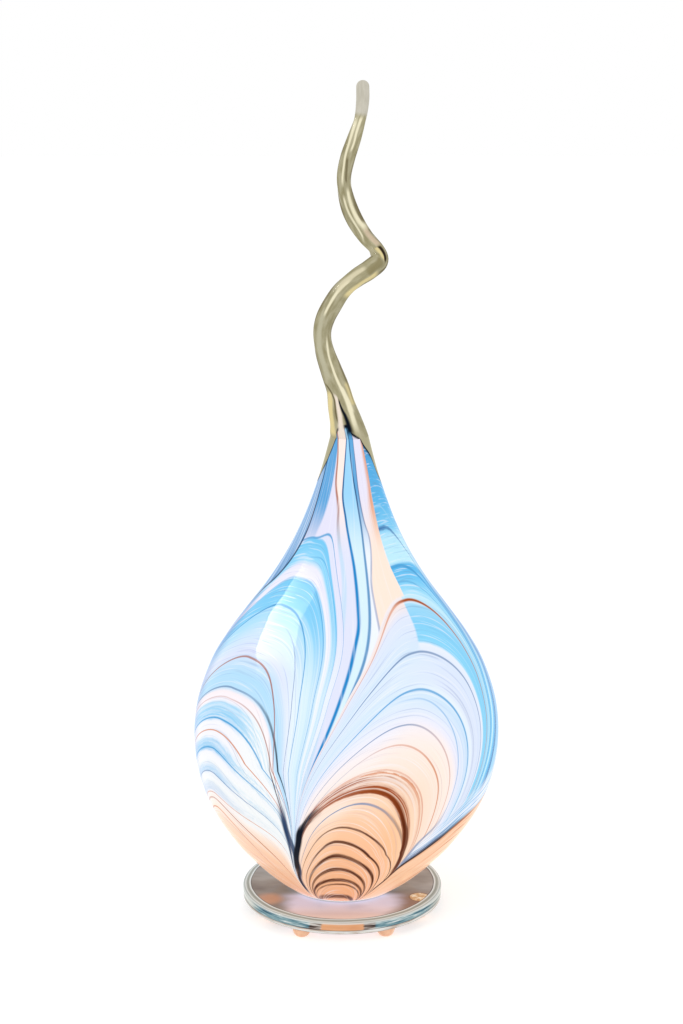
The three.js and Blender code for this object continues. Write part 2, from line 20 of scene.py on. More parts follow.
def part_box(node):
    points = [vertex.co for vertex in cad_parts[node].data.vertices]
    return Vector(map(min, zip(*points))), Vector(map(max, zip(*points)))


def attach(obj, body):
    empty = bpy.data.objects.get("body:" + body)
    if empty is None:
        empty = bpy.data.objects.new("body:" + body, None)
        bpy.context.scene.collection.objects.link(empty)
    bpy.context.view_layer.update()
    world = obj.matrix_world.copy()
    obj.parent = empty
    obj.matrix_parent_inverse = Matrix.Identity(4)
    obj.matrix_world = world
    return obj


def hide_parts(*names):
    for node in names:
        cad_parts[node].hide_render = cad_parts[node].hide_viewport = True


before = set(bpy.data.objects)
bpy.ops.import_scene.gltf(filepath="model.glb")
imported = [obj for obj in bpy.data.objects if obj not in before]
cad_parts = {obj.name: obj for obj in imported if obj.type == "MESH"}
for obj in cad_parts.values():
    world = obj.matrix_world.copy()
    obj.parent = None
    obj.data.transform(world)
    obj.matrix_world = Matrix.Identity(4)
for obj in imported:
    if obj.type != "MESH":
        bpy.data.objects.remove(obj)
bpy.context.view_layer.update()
LOG = logging.getLogger("flame_lamp")
MM = 0.001
NEAR = 1e-6

Colour = tuple[float, float, float, float]
Stops = Sequence[tuple[float, Colour]]
Points = Sequence[tuple[float, float]]
Socket = bpy.types.NodeSocket


# The sRGB curve: a short straight part, then a power
SRGB_KNEE = 0.04045
SRGB_SLOPE = 12.92
SRGB_OFFSET = 0.055
SRGB_POWER = 2.4


def srgb(red: int, green: int, blue: int) -> Colour:
    """Give the linear colour of an sRGB one, so that it renders as it is written.

    Args:
        red: Red, 0 to 255.
        green: Green, 0 to 255.
        blue: Blue, 0 to 255.

    Returns:
        The linear colour, opaque.
    """

    def linear(level: int) -> float:
        """Give one level, 0 to 255, as a share of the light."""
        share = level / 255
        if share <= SRGB_KNEE:
            return share / SRGB_SLOPE
        return ((share + SRGB_OFFSET) / (1 + SRGB_OFFSET)) ** SRGB_POWER

    return (linear(red), linear(green), linear(blue), 1.0)


class Body(Enum):
    """The moving bodies of the lamp."""

    BASE = "base"
    TIP = "bulb_tip"
    BULB = "bulb"
    SHADE = "shade"


class Nodes:
    """Writes shader nodes into one tree, so that a finish reads as a list of steps."""

    MIX_COLOUR_INPUTS = (0, 6, 7)
    MIX_NUMBER_INPUTS = (0, 2, 3)

    def __init__(self, tree: bpy.types.NodeTree) -> None:
        """Keep the tree that the nodes go into."""
        self.tree = tree

    def add(self, kind: str, **settings: object) -> bpy.types.Node:
        """Add one node and set its properties.

        Args:
            kind: The node's type.
            settings: Its properties by name.

        Returns:
            The node.
        """
        node = self.tree.nodes.new(kind)
        for name, value in settings.items():
            setattr(node, name, value)
        return node

    def feed(self, socket: Socket, value: object) -> None:
        """Link an output to a socket, or set the socket's own value.

        Args:
            socket: The input.
            value: An output, a plain value, or None to leave it alone.
        """
        if isinstance(value, Socket):
            self.tree.links.new(value, socket)
        elif value is not None:
            socket.default_value = value

    def math(self, operation: str, *values: object, clamp: bool = False) -> Socket:
        """Give the result of one sum.

        Args:
            operation: Name of the sum.
            values: Its terms.
            clamp: Whether the result is kept between 0 and 1.

        Returns:
            The result.
        """
        node = self.add("ShaderNodeMath", operation=operation, use_clamp=clamp)
        for socket, value in zip(node.inputs, values):
            self.feed(socket, value)
        return node.outputs[0]

    def times(self, *values: object) -> Socket:
        """Give the product of two or more numbers.

        Args:
            values: The numbers.

        Returns:
            Their product.
        """
        product = values[0]
        for value in values[1:]:
            product = self.math("MULTIPLY", product, value)
        return product

    def minus(self, value: object, taken: object, clamp: bool = False) -> Socket:
        """Give what is left of a number when another is taken from it."""
        return self.math("SUBTRACT", value, taken, clamp=clamp)

    def mix(self, share: object, first: object, second: object, kind: str = "MIX") -> Socket:
        """Give a colour between two.

        Args:
            share: Share of the second colour.
            first: First colour.
            second: Second colour.
            kind: How they blend.

        Returns:
            The colour.
        """
        node = self.add("ShaderNodeMix", data_type="RGBA", blend_type=kind)
        for index, value in zip(self.MIX_COLOUR_INPUTS, (share, first, second)):
            self.feed(node.inputs[index], value)
        return node.outputs[2]

    def between(self, share: object, first: object, second: object) -> Socket:
        """Give a number between two.

        Args:
            share: Share of the second number.
            first: First number.
            second: Second number.

        Returns:
            The number.
        """
        node = self.add("ShaderNodeMix", data_type="FLOAT")
        for index, value in zip(self.MIX_NUMBER_INPUTS, (share, first, second)):
            self.feed(node.inputs[index], value)
        return node.outputs[0]

    def step(self, value: object, low: float, high: float, start: float = 0, end: float = 1) -> Socket:
        """Give a soft step of a value from low to high.

        Args:
            value: The value that is followed.
            low: Where the step starts.
            high: Where it ends.
            start: Result at its start.
            end: Result at its end.

        Returns:
            The number.
        """
        node = self.add("ShaderNodeMapRange", interpolation_type="SMOOTHSTEP", clamp=True)
        for socket, number in zip(node.inputs, (value, low, high, start, end)):
            self.feed(socket, number)
        return node.outputs[0]

    def curve(self, value: object, points: Points, low: float, high: float) -> Socket:
        """Give a smooth curve through points, whose values lie between low and high.

        Args:
            value: Where on the curve, 0 to 1.
            points: Place and value of each point.
            low: Least value of the curve.
            high: Greatest value of the curve.

        Returns:
            The curve's value there.
        """
        node = self.add("ShaderNodeFloatCurve")
        line = node.mapping.curves[0]
        for index, (place, height) in enumerate(points):
            spot = (place, (height - low) / (high - low))
            if index < 2:
                line.points[index].location = spot
            else:
                line.points.new(*spot)
        for point in line.points:
            point.handle_type = "AUTO_CLAMPED"
        node.mapping.update()
        self.feed(node.inputs["Value"], value)
        return self.math("MULTIPLY_ADD", node.outputs[0], high - low, low)

    def ramp(self, value: object, stops: Stops) -> Socket:
        """Give the colour of a ramp.

        Args:
            value: Place on the ramp, 0 to 1.
            stops: Place and colour of each stop.

        Returns:
            The colour.
        """
        node = self.add("ShaderNodeValToRGB")
        elements = node.color_ramp.elements
        for index, (place, colour) in enumerate(stops):
            element = elements[index] if index < 2 else elements.new(place)
            element.position = place
            element.color = colour
        self.feed(node.inputs[0], value)
        return node.outputs[0]

    def bands(self, value: object, stops: Stops, seam: float) -> Socket:
        """Give the colour of a long ramp, which two ramps that meet at a seam share.

        Args:
            value: Place on the ramp, 0 to 1.
            stops: Place and colour of each stop.
            seam: Place where the second ramp takes over.

        Returns:
            The colour.
        """
        low = [(place / seam, colour) for place, colour in stops if place <= seam]
        high = [((place - seam) / (1 - seam), colour) for place, colour in stops if place >= seam]
        under = self.ramp(self.math("DIVIDE", value, seam, clamp=True), low)
        scaled = self.math("DIVIDE", self.minus(value, seam), 1 - seam, clamp=True)
        over = self.ramp(scaled, high)
        return self.mix(self.math("GREATER_THAN", value, seam), under, over)

    def noise(self, place: object, scale: float, detail: float = 3, roughness: float = 0.5) -> Socket:
        """Give noise between 0 and 1.

        Args:
            place: The place that is read.
            scale: Grains to a unit.
            detail: Finer octaves.
            roughness: Strength of the finer octaves.

        Returns:
            The noise.
        """
        node = self.add("ShaderNodeTexNoise")
        self.feed(node.inputs["Vector"], place)
        self.feed(node.inputs["Scale"], scale)
        self.feed(node.inputs["Detail"], detail)
        self.feed(node.inputs["Roughness"], roughness)
        return node.outputs["Fac"]

    def vector(self, x: object, y: object, z: object) -> Socket:
        """Join three numbers in a vector.

        Args:
            x: First number.
            y: Second number.
            z: Third number.

        Returns:
            The vector.
        """
        node = self.add("ShaderNodeCombineXYZ")
        for socket, value in zip(node.inputs, (x, y, z)):
            self.feed(socket, value)
        return node.outputs[0]

    def split(self, vector: object) -> list[Socket]:
        """Give the three numbers of a vector.

        Args:
            vector: The vector.

        Returns:
            Its numbers.
        """
        node = self.add("ShaderNodeSeparateXYZ")
        self.feed(node.inputs[0], vector)
        return list(node.outputs)

    def place(self) -> Socket:
        """Give the place on the piece, in metres."""
        return self.add("ShaderNodeTexCoord").outputs["Object"]

    def attribute(self, name: str) -> Socket:
        """Give a number that the piece's mesh holds at each vertex."""
        return self.add("ShaderNodeAttribute", attribute_name=name).outputs["Fac"]

    def bump(self, height: object, depth: float, strength: float) -> Socket:
        """Give the normal of a surface with a relief.

        Args:
            height: Height of the relief, 0 to 1.
            depth: Its depth, in metres.
            strength: Its strength, 0 to 1.

        Returns:
            The normal.
        """
        node = self.add("ShaderNodeBump")
        self.feed(node.inputs["Height"], height)
        node.inputs["Distance"].default_value = depth
        node.inputs["Strength"].default_value = strength
        return node.outputs[0]

    def use(self, group: bpy.types.NodeTree, **values: object) -> bpy.types.Node:
        """Place a group and feed its inputs, whose names have an underscore for each space.

        Args:
            group: The group.
            values: What its inputs are fed, by name.

        Returns:
            The group's node.
        """
        node = self.add("ShaderNodeGroup", node_tree=group)
        for name, value in values.items():
            self.feed(node.inputs[name.replace("_", " ")], value)
        return node


class Group:
    """A shader node group with named inputs and outputs."""

    KINDS = {float: "NodeSocketFloat", Vector: "NodeSocketVector", Colour: "NodeSocketColor"}

    def __init__(self, name: str, inputs: dict[str, type], outputs: dict[str, type]) -> None:
        """Make an empty group with its sockets.

        Args:
            name: The group's name.
            inputs: Name and kind of each input.
            outputs: Name and kind of each output.
        """
        self.tree = bpy.data.node_groups.new(name, "ShaderNodeTree")
        for title, kind in inputs.items():
            self.tree.interface.new_socket(name=title, in_out="INPUT", socket_type=self.KINDS[kind])
        for title, kind in outputs.items():
            self.tree.interface.new_socket(name=title, in_out="OUTPUT", socket_type=self.KINDS[kind])
        self.nodes = Nodes(self.tree)
        self.given = self.nodes.add("NodeGroupInput").outputs
        self.result = self.nodes.add("NodeGroupOutput").inputs

    def give(self, name: str, value: object) -> None:
        """Feed one output."""
        self.nodes.feed(self.result[name], value)


class Finish:
    """A material in the making: its Principled shader and a writer for its nodes."""

    def __init__(self, name: str) -> None:
        """Make the material.

        Args:
            name: The material's name.
        """
        self.material = bpy.data.materials.new(name)
        self.material.use_nodes = True
        self.nodes = Nodes(self.material.node_tree)
        self.shader = self.material.node_tree.nodes["Principled BSDF"]

    def set(self, **values: object) -> None:
        """Feed the shader's sockets, whose names have an underscore for each space."""
        for name, value in values.items():
            self.nodes.feed(self.shader.inputs[name.replace("_", " ")], value)


def catmull(points: Points, steps: int) -> list[tuple[float, float]]:
    """Run a smooth line through points of a plane, with even steps between each two.

    Args:
        points: The points.
        steps: Steps from each point to the next.

    Returns:
        The points of the line, ends included.
    """
    line = []
    last = len(points) - 1
    for index in range(last):
        around = [points[max(0, index - 1)], points[index], points[index + 1], points[min(last, index + 2)]]
        for step in range(steps):
            share = step / steps
            line.append(tuple(hermite([spot[axis] for spot in around], share) for axis in range(2)))
    line.append(tuple(points[-1]))
    return line


def hermite(values: Sequence[float], share: float) -> float:
    """Give the value between the middle two of four, on a smooth curve.

    Args:
        values: The four values.
        share: Way from the second to the third, 0 to 1.

    Returns:
        The value.
    """
    before, start, end, after = values
    leaving = (end - before) / 2
    arriving = (after - start) / 2
    cube = 2 * start - 2 * end + leaving + arriving
    square = -3 * start + 3 * end - 2 * leaving - arriving
    return cube * share**3 + square * share**2 + leaving * share + start


def turned(profile: Points, sides: int, closed: bool) -> BMesh:
    """Turn a profile about the upright axis.

    Args:
        profile: Radius and height of each point, in metres.
        sides: Steps of the full turn.
        closed: Whether the last point joins the first.

    Returns:
        The turned mesh, with its doubles merged and its faces pointing out.
    """
    bm = bmesh.new()
    spots = [bm.verts.new((radius, 0, height)) for radius, height in profile]
    edges = [bm.edges.new(pair) for pair in zip(spots, spots[1:])]
    if closed:
        edges.append(bm.edges.new((spots[-1], spots[0])))
    bmesh.ops.spin(
        bm,
        geom=spots + edges,
        cent=(0, 0, 0),
        axis=(0, 0, 1),
        angle=2 * math.pi,
        steps=sides,
        use_merge=True,
    )
    bmesh.ops.remove_doubles(bm, verts=bm.verts[:], dist=NEAR)
    bmesh.ops.recalc_face_normals(bm, faces=bm.faces[:])
    return bm


def level_rings(bm: BMesh) -> list[BMEdge]:
    """Give the edges of a turned mesh that run level round its axis.

    Args:
        bm: The mesh.

    Returns:
        The edges.
    """
    rings = []
    for edge in bm.edges:
        first, second = (spot.co for spot in edge.verts)
        if abs(first.z - second.z) < NEAR and abs(first.xy.length - second.xy.length) < NEAR:
            rings.append(edge)
    return rings


def round_off(bm: BMesh, edges: Sequence[BMEdge], radius: float, segments: int, clamp: bool = False) -> None:
    """Round edges with a bevel.

    Args:
        bm: The mesh.
        edges: The edges.
        radius: Width of the bevel, in metres.
        segments: Faces across it.
        clamp: Whether bevels stop where they would overlap.
    """
    bmesh.ops.bevel(
        bm,
        geom=edges,
        offset=radius,
        offset_type="OFFSET",
        segments=segments,
        profile=0.5,
        affect="EDGES",
        clamp_overlap=clamp,
        material=-1,
    )


def smooth(bm: BMesh, crease: float = 35) -> None:
    """Shade a mesh smooth, with sharp edges where it turns by more than a crease, in degrees.

    Args:
        bm: The mesh.
        crease: Least turn at a sharp edge, in degrees.
    """
    for face in bm.faces:
        face.smooth = True
    for edge in bm.edges:
        edge.smooth = edge.calc_face_angle(0) < math.radians(crease)


def finished(bm: BMesh, name: str, body: Body, slot: str, finish: Finish, *nodes: str) -> bpy.types.Object:
    """Make a piece of a mesh, dress it, and tie it to the frame.

    Args:
        bm: The mesh, in place, which is freed.
        name: The piece's name.
        body: The body that it rides on.
        slot: The material slot that it is made of, which is not used.
        finish: Its finish.
        nodes: The nodes that it stands for.

    Returns:
        The piece.
    """
    mesh = bpy.data.meshes.new(name)
    bm.to_mesh(mesh)
    bm.free()
    mesh.materials.append(finish.material)
    piece = bpy.data.objects.new(name, mesh)
    bpy.context.scene.collection.objects.link(piece)
    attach(piece, body.value)
    if nodes:
        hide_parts(*nodes)
    LOG.info("%s: %d faces on %s", name, len(mesh.polygons), body.value)
    return piece


@dataclass(frozen=True)
class ShadeForm:
    """Sizes of the blown shade, in metres, and the shares that shape it."""

    radius: float = 100.1 * MM
    height: float = 304.2 * MM
    lip_height: float = 16.3 * MM
    wall: float = 4 * MM
    lean: float = 4.5 * MM
    neck_radius: float = 12.2 * MM
    cavity_share: float = 0.9
    cavity_closing: float = 14
    outline_steps: int = 9
    outline_shares: Points = (
        (0.36, 0), (0.482, 0.03), (0.612, 0.07), (0.745, 0.12), (0.883, 0.19), (0.966, 0.26), (1, 0.34),
        (0.978, 0.42), (0.897, 0.5), (0.795, 0.56), (0.665, 0.62), (0.53, 0.68), (0.415, 0.74),
        (0.322, 0.8), (0.249, 0.86), (0.178, 0.93),
    )

    def outline(self) -> list[tuple[float, float]]:
        """Give the outer outline above the lip, as radius and height."""
        stations = [(share * self.radius, up * self.height) for share, up in self.outline_shares]
        return catmull([*stations, (self.neck_radius, self.height)], self.outline_steps)

    def profile(self) -> list[tuple[float, float]]:
        """Give the closed section of the shade, from the cavity's top over the lip to the neck's.

        Returns:
            Radius and height of each point, in metres.
        """
        outer = self.outline()
        cavity_top = self.cavity_share * self.height
        inner = []
        for radius, up in outer:
            if up < cavity_top:
                closing = math.sqrt(1 - (up / cavity_top) ** self.cavity_closing)
                inner.append(((radius - self.wall) * closing, up))
        inner.reverse()
        section = [(0, cavity_top), *inner, *outer, (0, self.height)]
        return [(radius, up + self.lip_height) for radius, up in section]


# Colours of the glass threads
DEEP_BLUE = srgb(74, 160, 214)
BRIGHT_BLUE = srgb(112, 198, 243)
LILAC = srgb(221, 228, 250)
MILK = srgb(244, 244, 252)
BLUSH = srgb(253, 238, 228)
ORANGE = srgb(214, 138, 98)
RUST = srgb(164, 78, 34)
UMBER = srgb(78, 28, 6)
NAVY = srgb(36, 62, 100)
INK = srgb(12, 20, 34)
SLATE = srgb(104, 136, 178)
KHAKI = srgb(172, 166, 134)


@dataclass(frozen=True)
class Thread:
    """One drawn line of a lobe.

    Its middle is its level at the crown, and it bends by the square of the way to each side. Its strength
    runs from the left over the crown to the right, and is cut off at nothing and at full. Each field is named
    after the input of the drawn line that it feeds.
    """

    middle: float
    left_bend: float
    right_bend: float
    width: float
    line: Colour
    left: float
    crown: float
    right: float
    rough: float = 0


@dataclass(frozen=True)
class Strand:
    """One strand up the neck: its angle at each height, the glass to its right, and the line along it."""

    path: Points
    softness: float
    low_fill: Colour
    high_fill: Colour
    low_line: Colour
    high_line: Colour
    width: float
    strength: float


RIGHT_GROUND_RIGHT: Stops = (
    (0, srgb(240, 172, 126)), (0.12, srgb(246, 180, 134)), (0.22, srgb(252, 190, 146)),
    (0.3, srgb(253, 200, 156)), (0.335, srgb(254, 212, 176)), (0.38, srgb(253, 226, 206)),
    (0.44, srgb(254, 236, 224)), (0.462, srgb(250, 238, 236)), (0.475, srgb(236, 236, 250)),
    (0.495, srgb(218, 232, 251)), (0.515, srgb(206, 229, 250)), (0.526, srgb(232, 242, 253)),
    (0.54, srgb(222, 231, 250)), (0.58, srgb(218, 230, 250)), (0.602, srgb(232, 238, 252)),
    (0.607, srgb(140, 214, 247)), (0.64, srgb(134, 208, 245)), (0.668, srgb(160, 216, 245)),
    (0.684, srgb(196, 234, 250)), (0.7, srgb(150, 217, 247)), (0.72, BRIGHT_BLUE),
    (0.742, srgb(88, 184, 236)), (0.75, srgb(192, 236, 252)), (0.8, srgb(182, 230, 251)),
    (0.816, srgb(130, 204, 242)), (0.87, srgb(96, 184, 234)), (0.95, srgb(84, 170, 224)),
    (1, srgb(66, 132, 186)),
)

RIGHT_GROUND_LEFT: Stops = (
    (0, srgb(238, 172, 128)), (0.14, srgb(246, 188, 146)), (0.22, srgb(252, 204, 166)),
    (0.27, srgb(253, 216, 188)), (0.3, srgb(253, 230, 214)), (0.33, srgb(253, 224, 204)),
    (0.37, srgb(252, 236, 226)), (0.42, srgb(248, 238, 238)), (0.46, srgb(234, 236, 250)),
    (0.52, srgb(212, 231, 250)), (0.56, srgb(220, 233, 250)), (0.59, srgb(212, 230, 250)),
    (0.65, srgb(222, 230, 249)), (0.675, srgb(246, 228, 222)), (0.69, srgb(232, 236, 248)), (1, BLUSH),
)

LEFT_GROUND: Stops = (
    (0, srgb(232, 174, 136)), (0.15, srgb(249, 200, 164)), (0.205, srgb(252, 218, 192)),
    (0.24, srgb(253, 236, 224)), (0.266, srgb(252, 240, 234)), (0.272, srgb(200, 216, 234)),
    (0.288, srgb(216, 228, 240)), (0.3, srgb(246, 248, 246)), (0.312, srgb(238, 242, 248)),
    (0.318, srgb(176, 212, 240)), (0.33, srgb(200, 224, 244)), (0.342, srgb(246, 248, 248)), (0.36, MILK),
    (0.37, srgb(142, 200, 238)), (0.388, srgb(182, 220, 246)), (0.398, MILK), (0.43, MILK),
    (0.438, srgb(138, 204, 242)), (0.47, srgb(180, 222, 247)), (0.478, srgb(250, 242, 248)),
    (0.494, srgb(249, 238, 242)), (0.502, srgb(186, 224, 249)), (0.53, srgb(180, 222, 249)),
    (0.556, srgb(200, 226, 249)), (0.575, LILAC), (0.61, srgb(208, 230, 250)), (0.645, srgb(176, 224, 250)),
    (0.665, srgb(168, 220, 249)), (0.67, srgb(134, 208, 246)), (0.718, srgb(126, 204, 244)),
    (0.724, srgb(238, 236, 250)), (0.746, srgb(232, 232, 249)), (0.758, srgb(150, 216, 248)),
    (0.797, srgb(118, 200, 242)), (0.803, srgb(222, 226, 247)), (0.9, srgb(224, 224, 245)),
    (1, srgb(214, 224, 246)),
)

RIGHT_THREADS = (
    Thread(0.03, 0.11, 0.27, 0.01, UMBER, 0.8, 1, 1, 0.004),
    Thread(0.098, 0.045, 0.19, 0.006, UMBER, 1, 1, 1, 0.003),
    Thread(0.082, 0.05, 0.2, 0.0035, UMBER, 0.4, 0.9, 0.9, 0.003),
    Thread(0.134, 0, 0.1, 0.0062, UMBER, 0.6, 1.1, 1.1, 0.003),
    Thread(0.175, -0.03, 0.11, 0.0066, UMBER, 0.8, 1.1, 1.1, 0.003),
    Thread(0.215, -0.05, 0.07, 0.004, UMBER, 0.5, 1.1, 1.1, 0.002),
    Thread(0.252, -0.03, 0.13, 0.0026, UMBER, 0.6, 0.9, 1, 0.002),
    Thread(0.307, -0.06, 0.08, 0.0021, SLATE, 1, 0.9, -1, 0.001),
    Thread(0.307, -0.06, 0.09, 0.0036, UMBER, 0, -0.1, 1.6, 0.003),
    Thread(0.34, 0.01, -0.02, 0.0095, RUST, 1, 1, 1, 0.008),
    Thread(0.334, 0.01, -0.03, 0.0045, RUST, 0.6, 1, 1.3, 0.004),
    Thread(0.336, 0.01, -0.03, 0.0055, UMBER, -0.2, 0.3, 1.6, 0.008),
    Thread(0.36, 0.01, 0, 0.0075, RUST, 1.3, 0.8, -1.2, 0.009),
    Thread(0.372, 0.01, -0.01, 0.003, ORANGE, 0.6, 1, 0.4, 0.008),
    Thread(0.29, 0.13, 0, 0.012, INK, 2.2, -2.6, -3, 0.004),
    Thread(0.378, 0, 0, 0.0016, ORANGE, 0.1, 0.5, 1.2, 0.002),
    Thread(0.425, -0.1, -0.03, 0.0016, SLATE, 0.9, 0, -1, 0.001),
    Thread(0.425, -0.1, -0.03, 0.0018, ORANGE, -0.6, 0.6, 1.3, 0.001),
    Thread(0.462, -0.08, -0.04, 0.0017, SLATE, 1, 0.7, -0.4, 0),
    Thread(0.462, -0.08, -0.04, 0.0016, ORANGE, -1, 0, 1.1, 0.001),
    Thread(0.508, 0, -0.1, 0.0016, DEEP_BLUE, -0.6, 0.3, 1, 0),
    Thread(0.524, -0.075, -0.02, 0.0022, DEEP_BLUE, 1, 0.8, 0.9, 0),
    Thread(0.588, -0.025, 0, 0.0021, SLATE, 1, 0.8, 0.7, 0),
    Thread(0.679, -0.03, -0.05, 0.0032, ORANGE, 0.6, 0.8, 0.4, 0),
    Thread(0.679, 0, -0.05, 0.0022, RUST, -2, 1.1, 0.6, 0),
    Thread(0.742, 0, -0.05, 0.0034, DEEP_BLUE, 0, 0.9, 1, 0),
    Thread(0.712, 0, -0.04, 0.0016, DEEP_BLUE, 0, 0.4, 0.7, 0.002),
    Thread(0.818, 0, -0.15, 0.0045, srgb(70, 120, 176), 1.2, 0.9, 0.5, 0.003),
    Thread(0.862, 0, -0.2, 0.003, srgb(150, 206, 240), 1, 0.8, 0.5, 0.002),
    Thread(0.845, 0.1, -0.2, 0.007, srgb(96, 110, 150), 1.6, 0, -1.5, 0.004),
)

LEFT_THREADS = (
    Thread(0.23, 0, -0.14, 0.0019, ORANGE, 0.8, 0.9, 1, 0.001),
    Thread(0.252, 0, -0.01, 0.0022, RUST, 0.4, 0.6, 1.2, 0.001),
    Thread(0.266, 0, 0.12, 0.0015, ORANGE, 0.3, 0.6, 0.9, 0.001),
    Thread(0.316, 0, 0.12, 0.0014, SLATE, 0.7, 0.8, 0.7, 0.001),
    Thread(0.371, 0, 0.13, 0.0018, DEEP_BLUE, 0.8, 0.9, 0.7, 0),
    Thread(0.41, -0.02, 0.1, 0.0015, ORANGE, 0.9, 0.9, 1, 0),
    Thread(0.437, -0.03, 0.12, 0.0017, DEEP_BLUE, 0.8, 0.9, 0.8, 0),
    Thread(0.482, 0, 0.07, 0.0015, RUST, 0.8, 0.3, 1, 0),
    Thread(0.503, -0.02, 0.07, 0.002, SLATE, 0.5, 0.8, 0, 0),
    Thread(0.503, 0, 0.075, 0.003, INK, -2, -0.6, 1.7, 0.002),
    Thread(0.538, 0, -0.07, 0.0034, UMBER, -4, -3, 2.4, 0.002),
    Thread(0.565, -0.2, -0.09, 0.002, RUST, 0.9, 0.75, 0.9, 0),
    Thread(0.637, 0, -0.1, 0.0014, SLATE, -1, -0.3, 1.6, 0),
    Thread(0.667, -0.2, -0.085, 0.0022, DEEP_BLUE, 1, 0.9, 0.9, 0),
    Thread(0.722, -0.19, -0.03, 0.002, DEEP_BLUE, 1.3, 0.1, 1.1, 0),
    Thread(0.762, -0.1, 0.05, 0.0016, DEEP_BLUE, 0.2, 0.1, 1, 0),
    Thread(0.8, -0.03, 0.1, 0.0028, DEEP_BLUE, 0.7, 0.8, 1, 0),
    Thread(0.597, 0, -0.17, 0.028, NAVY, -7, -7, 1.9, 0.002),
)


@dataclass(frozen=True)
class Brush:
    """A heavy stroke at the foot: its angle at each height, its half width in degrees, and its colour."""

    path: Points
    width: float
    colour: Colour
    strength: float = 0.9


BRUSHES = (
    Brush((
        (0.03, -26.6), (0.082, -25.6), (0.12, -22.6), (0.151, -22.2), (0.173, -22), (0.24, -23.3),
        (0.3, -24.2),
    ), 1.4, NAVY),
    Brush((
        (0.1, -24.4), (0.151, -22.3), (0.198, -19.4), (0.244, -16.7), (0.266, -13.3), (0.284, -10.2),
    ), 1.9, INK, 1),
    Brush(((0.02, -27.2), (0.05, -26.8), (0.082, -25.9), (0.12, -23.5), (0.16, -21.9)), 1, srgb(44, 22, 14)),
    Brush((
        (0.1, 24), (0.14, 25.2), (0.178, 25), (0.215, 24.2), (0.25, 22.2), (0.286, 18.6),
    ), 1.4, srgb(92, 38, 12), 0.85),
)

LILAC_WHITE = srgb(228, 226, 246)
NECK_STRANDS = (
    Strand(
        (
            (0.1, -31), (0.3, -21), (0.5, -13), (0.6, -8), (0.72, -30), (0.78, -43), (0.86, -35),
            (0.92, -32), (1, -33),
        ),
        1.5, LILAC_WHITE, LILAC_WHITE, MILK, MILK, 1, 0,
    ),
    Strand(
        (
            (0.1, -30), (0.3, -18), (0.5, -9), (0.7, -3), (0.83, -14), (0.87, -17), (0.91, -25),
            (0.97, -30), (1, -36),
        ),
        1.2, srgb(222, 226, 247), srgb(253, 234, 226), srgb(196, 222, 244), srgb(176, 106, 80), 2.4,
        0.9,
    ),
    Strand(
        (
            (0.1, -28), (0.2, -21), (0.35, -14), (0.5, -4), (0.6, 3), (0.66, 6.5), (0.75, 5), (0.84, -4),
            (0.9, -11), (1, -9),
        ),
        1.1, srgb(214, 238, 252), srgb(156, 212, 247), srgb(30, 134, 200), srgb(34, 96, 150), 1.7, 1,
    ),
    Strand(
        (
            (0.1, -26), (0.2, -19.5), (0.35, -12.5), (0.5, -1), (0.62, 11), (0.7, 15), (0.8, 16),
            (0.87, 13), (0.92, 8), (1, -2),
        ),
        0.9, srgb(236, 242, 252), srgb(92, 164, 216), srgb(70, 138, 190), srgb(26, 70, 118), 1.4, 0.9,
    ),
    Strand(
        (
            (0.1, -25), (0.35, -10), (0.5, 1), (0.64, 18), (0.7, 18), (0.8, 24), (0.84, 20), (0.9, 16),
            (0.95, 14), (1, 10),
        ),
        1, srgb(252, 230, 214), srgb(230, 226, 244), srgb(158, 170, 200), srgb(70, 104, 150), 1.1, 0.8,
    ),
    Strand(
        (
            (0.1, -24), (0.35, -6), (0.5, 5), (0.64, 24), (0.7, 30), (0.78, 31), (0.85, 31), (0.92, 36),
            (1, 34),
        ),
        3.5, srgb(252, 230, 214), srgb(226, 158, 124), MILK, MILK, 1, 0,
    ),
)


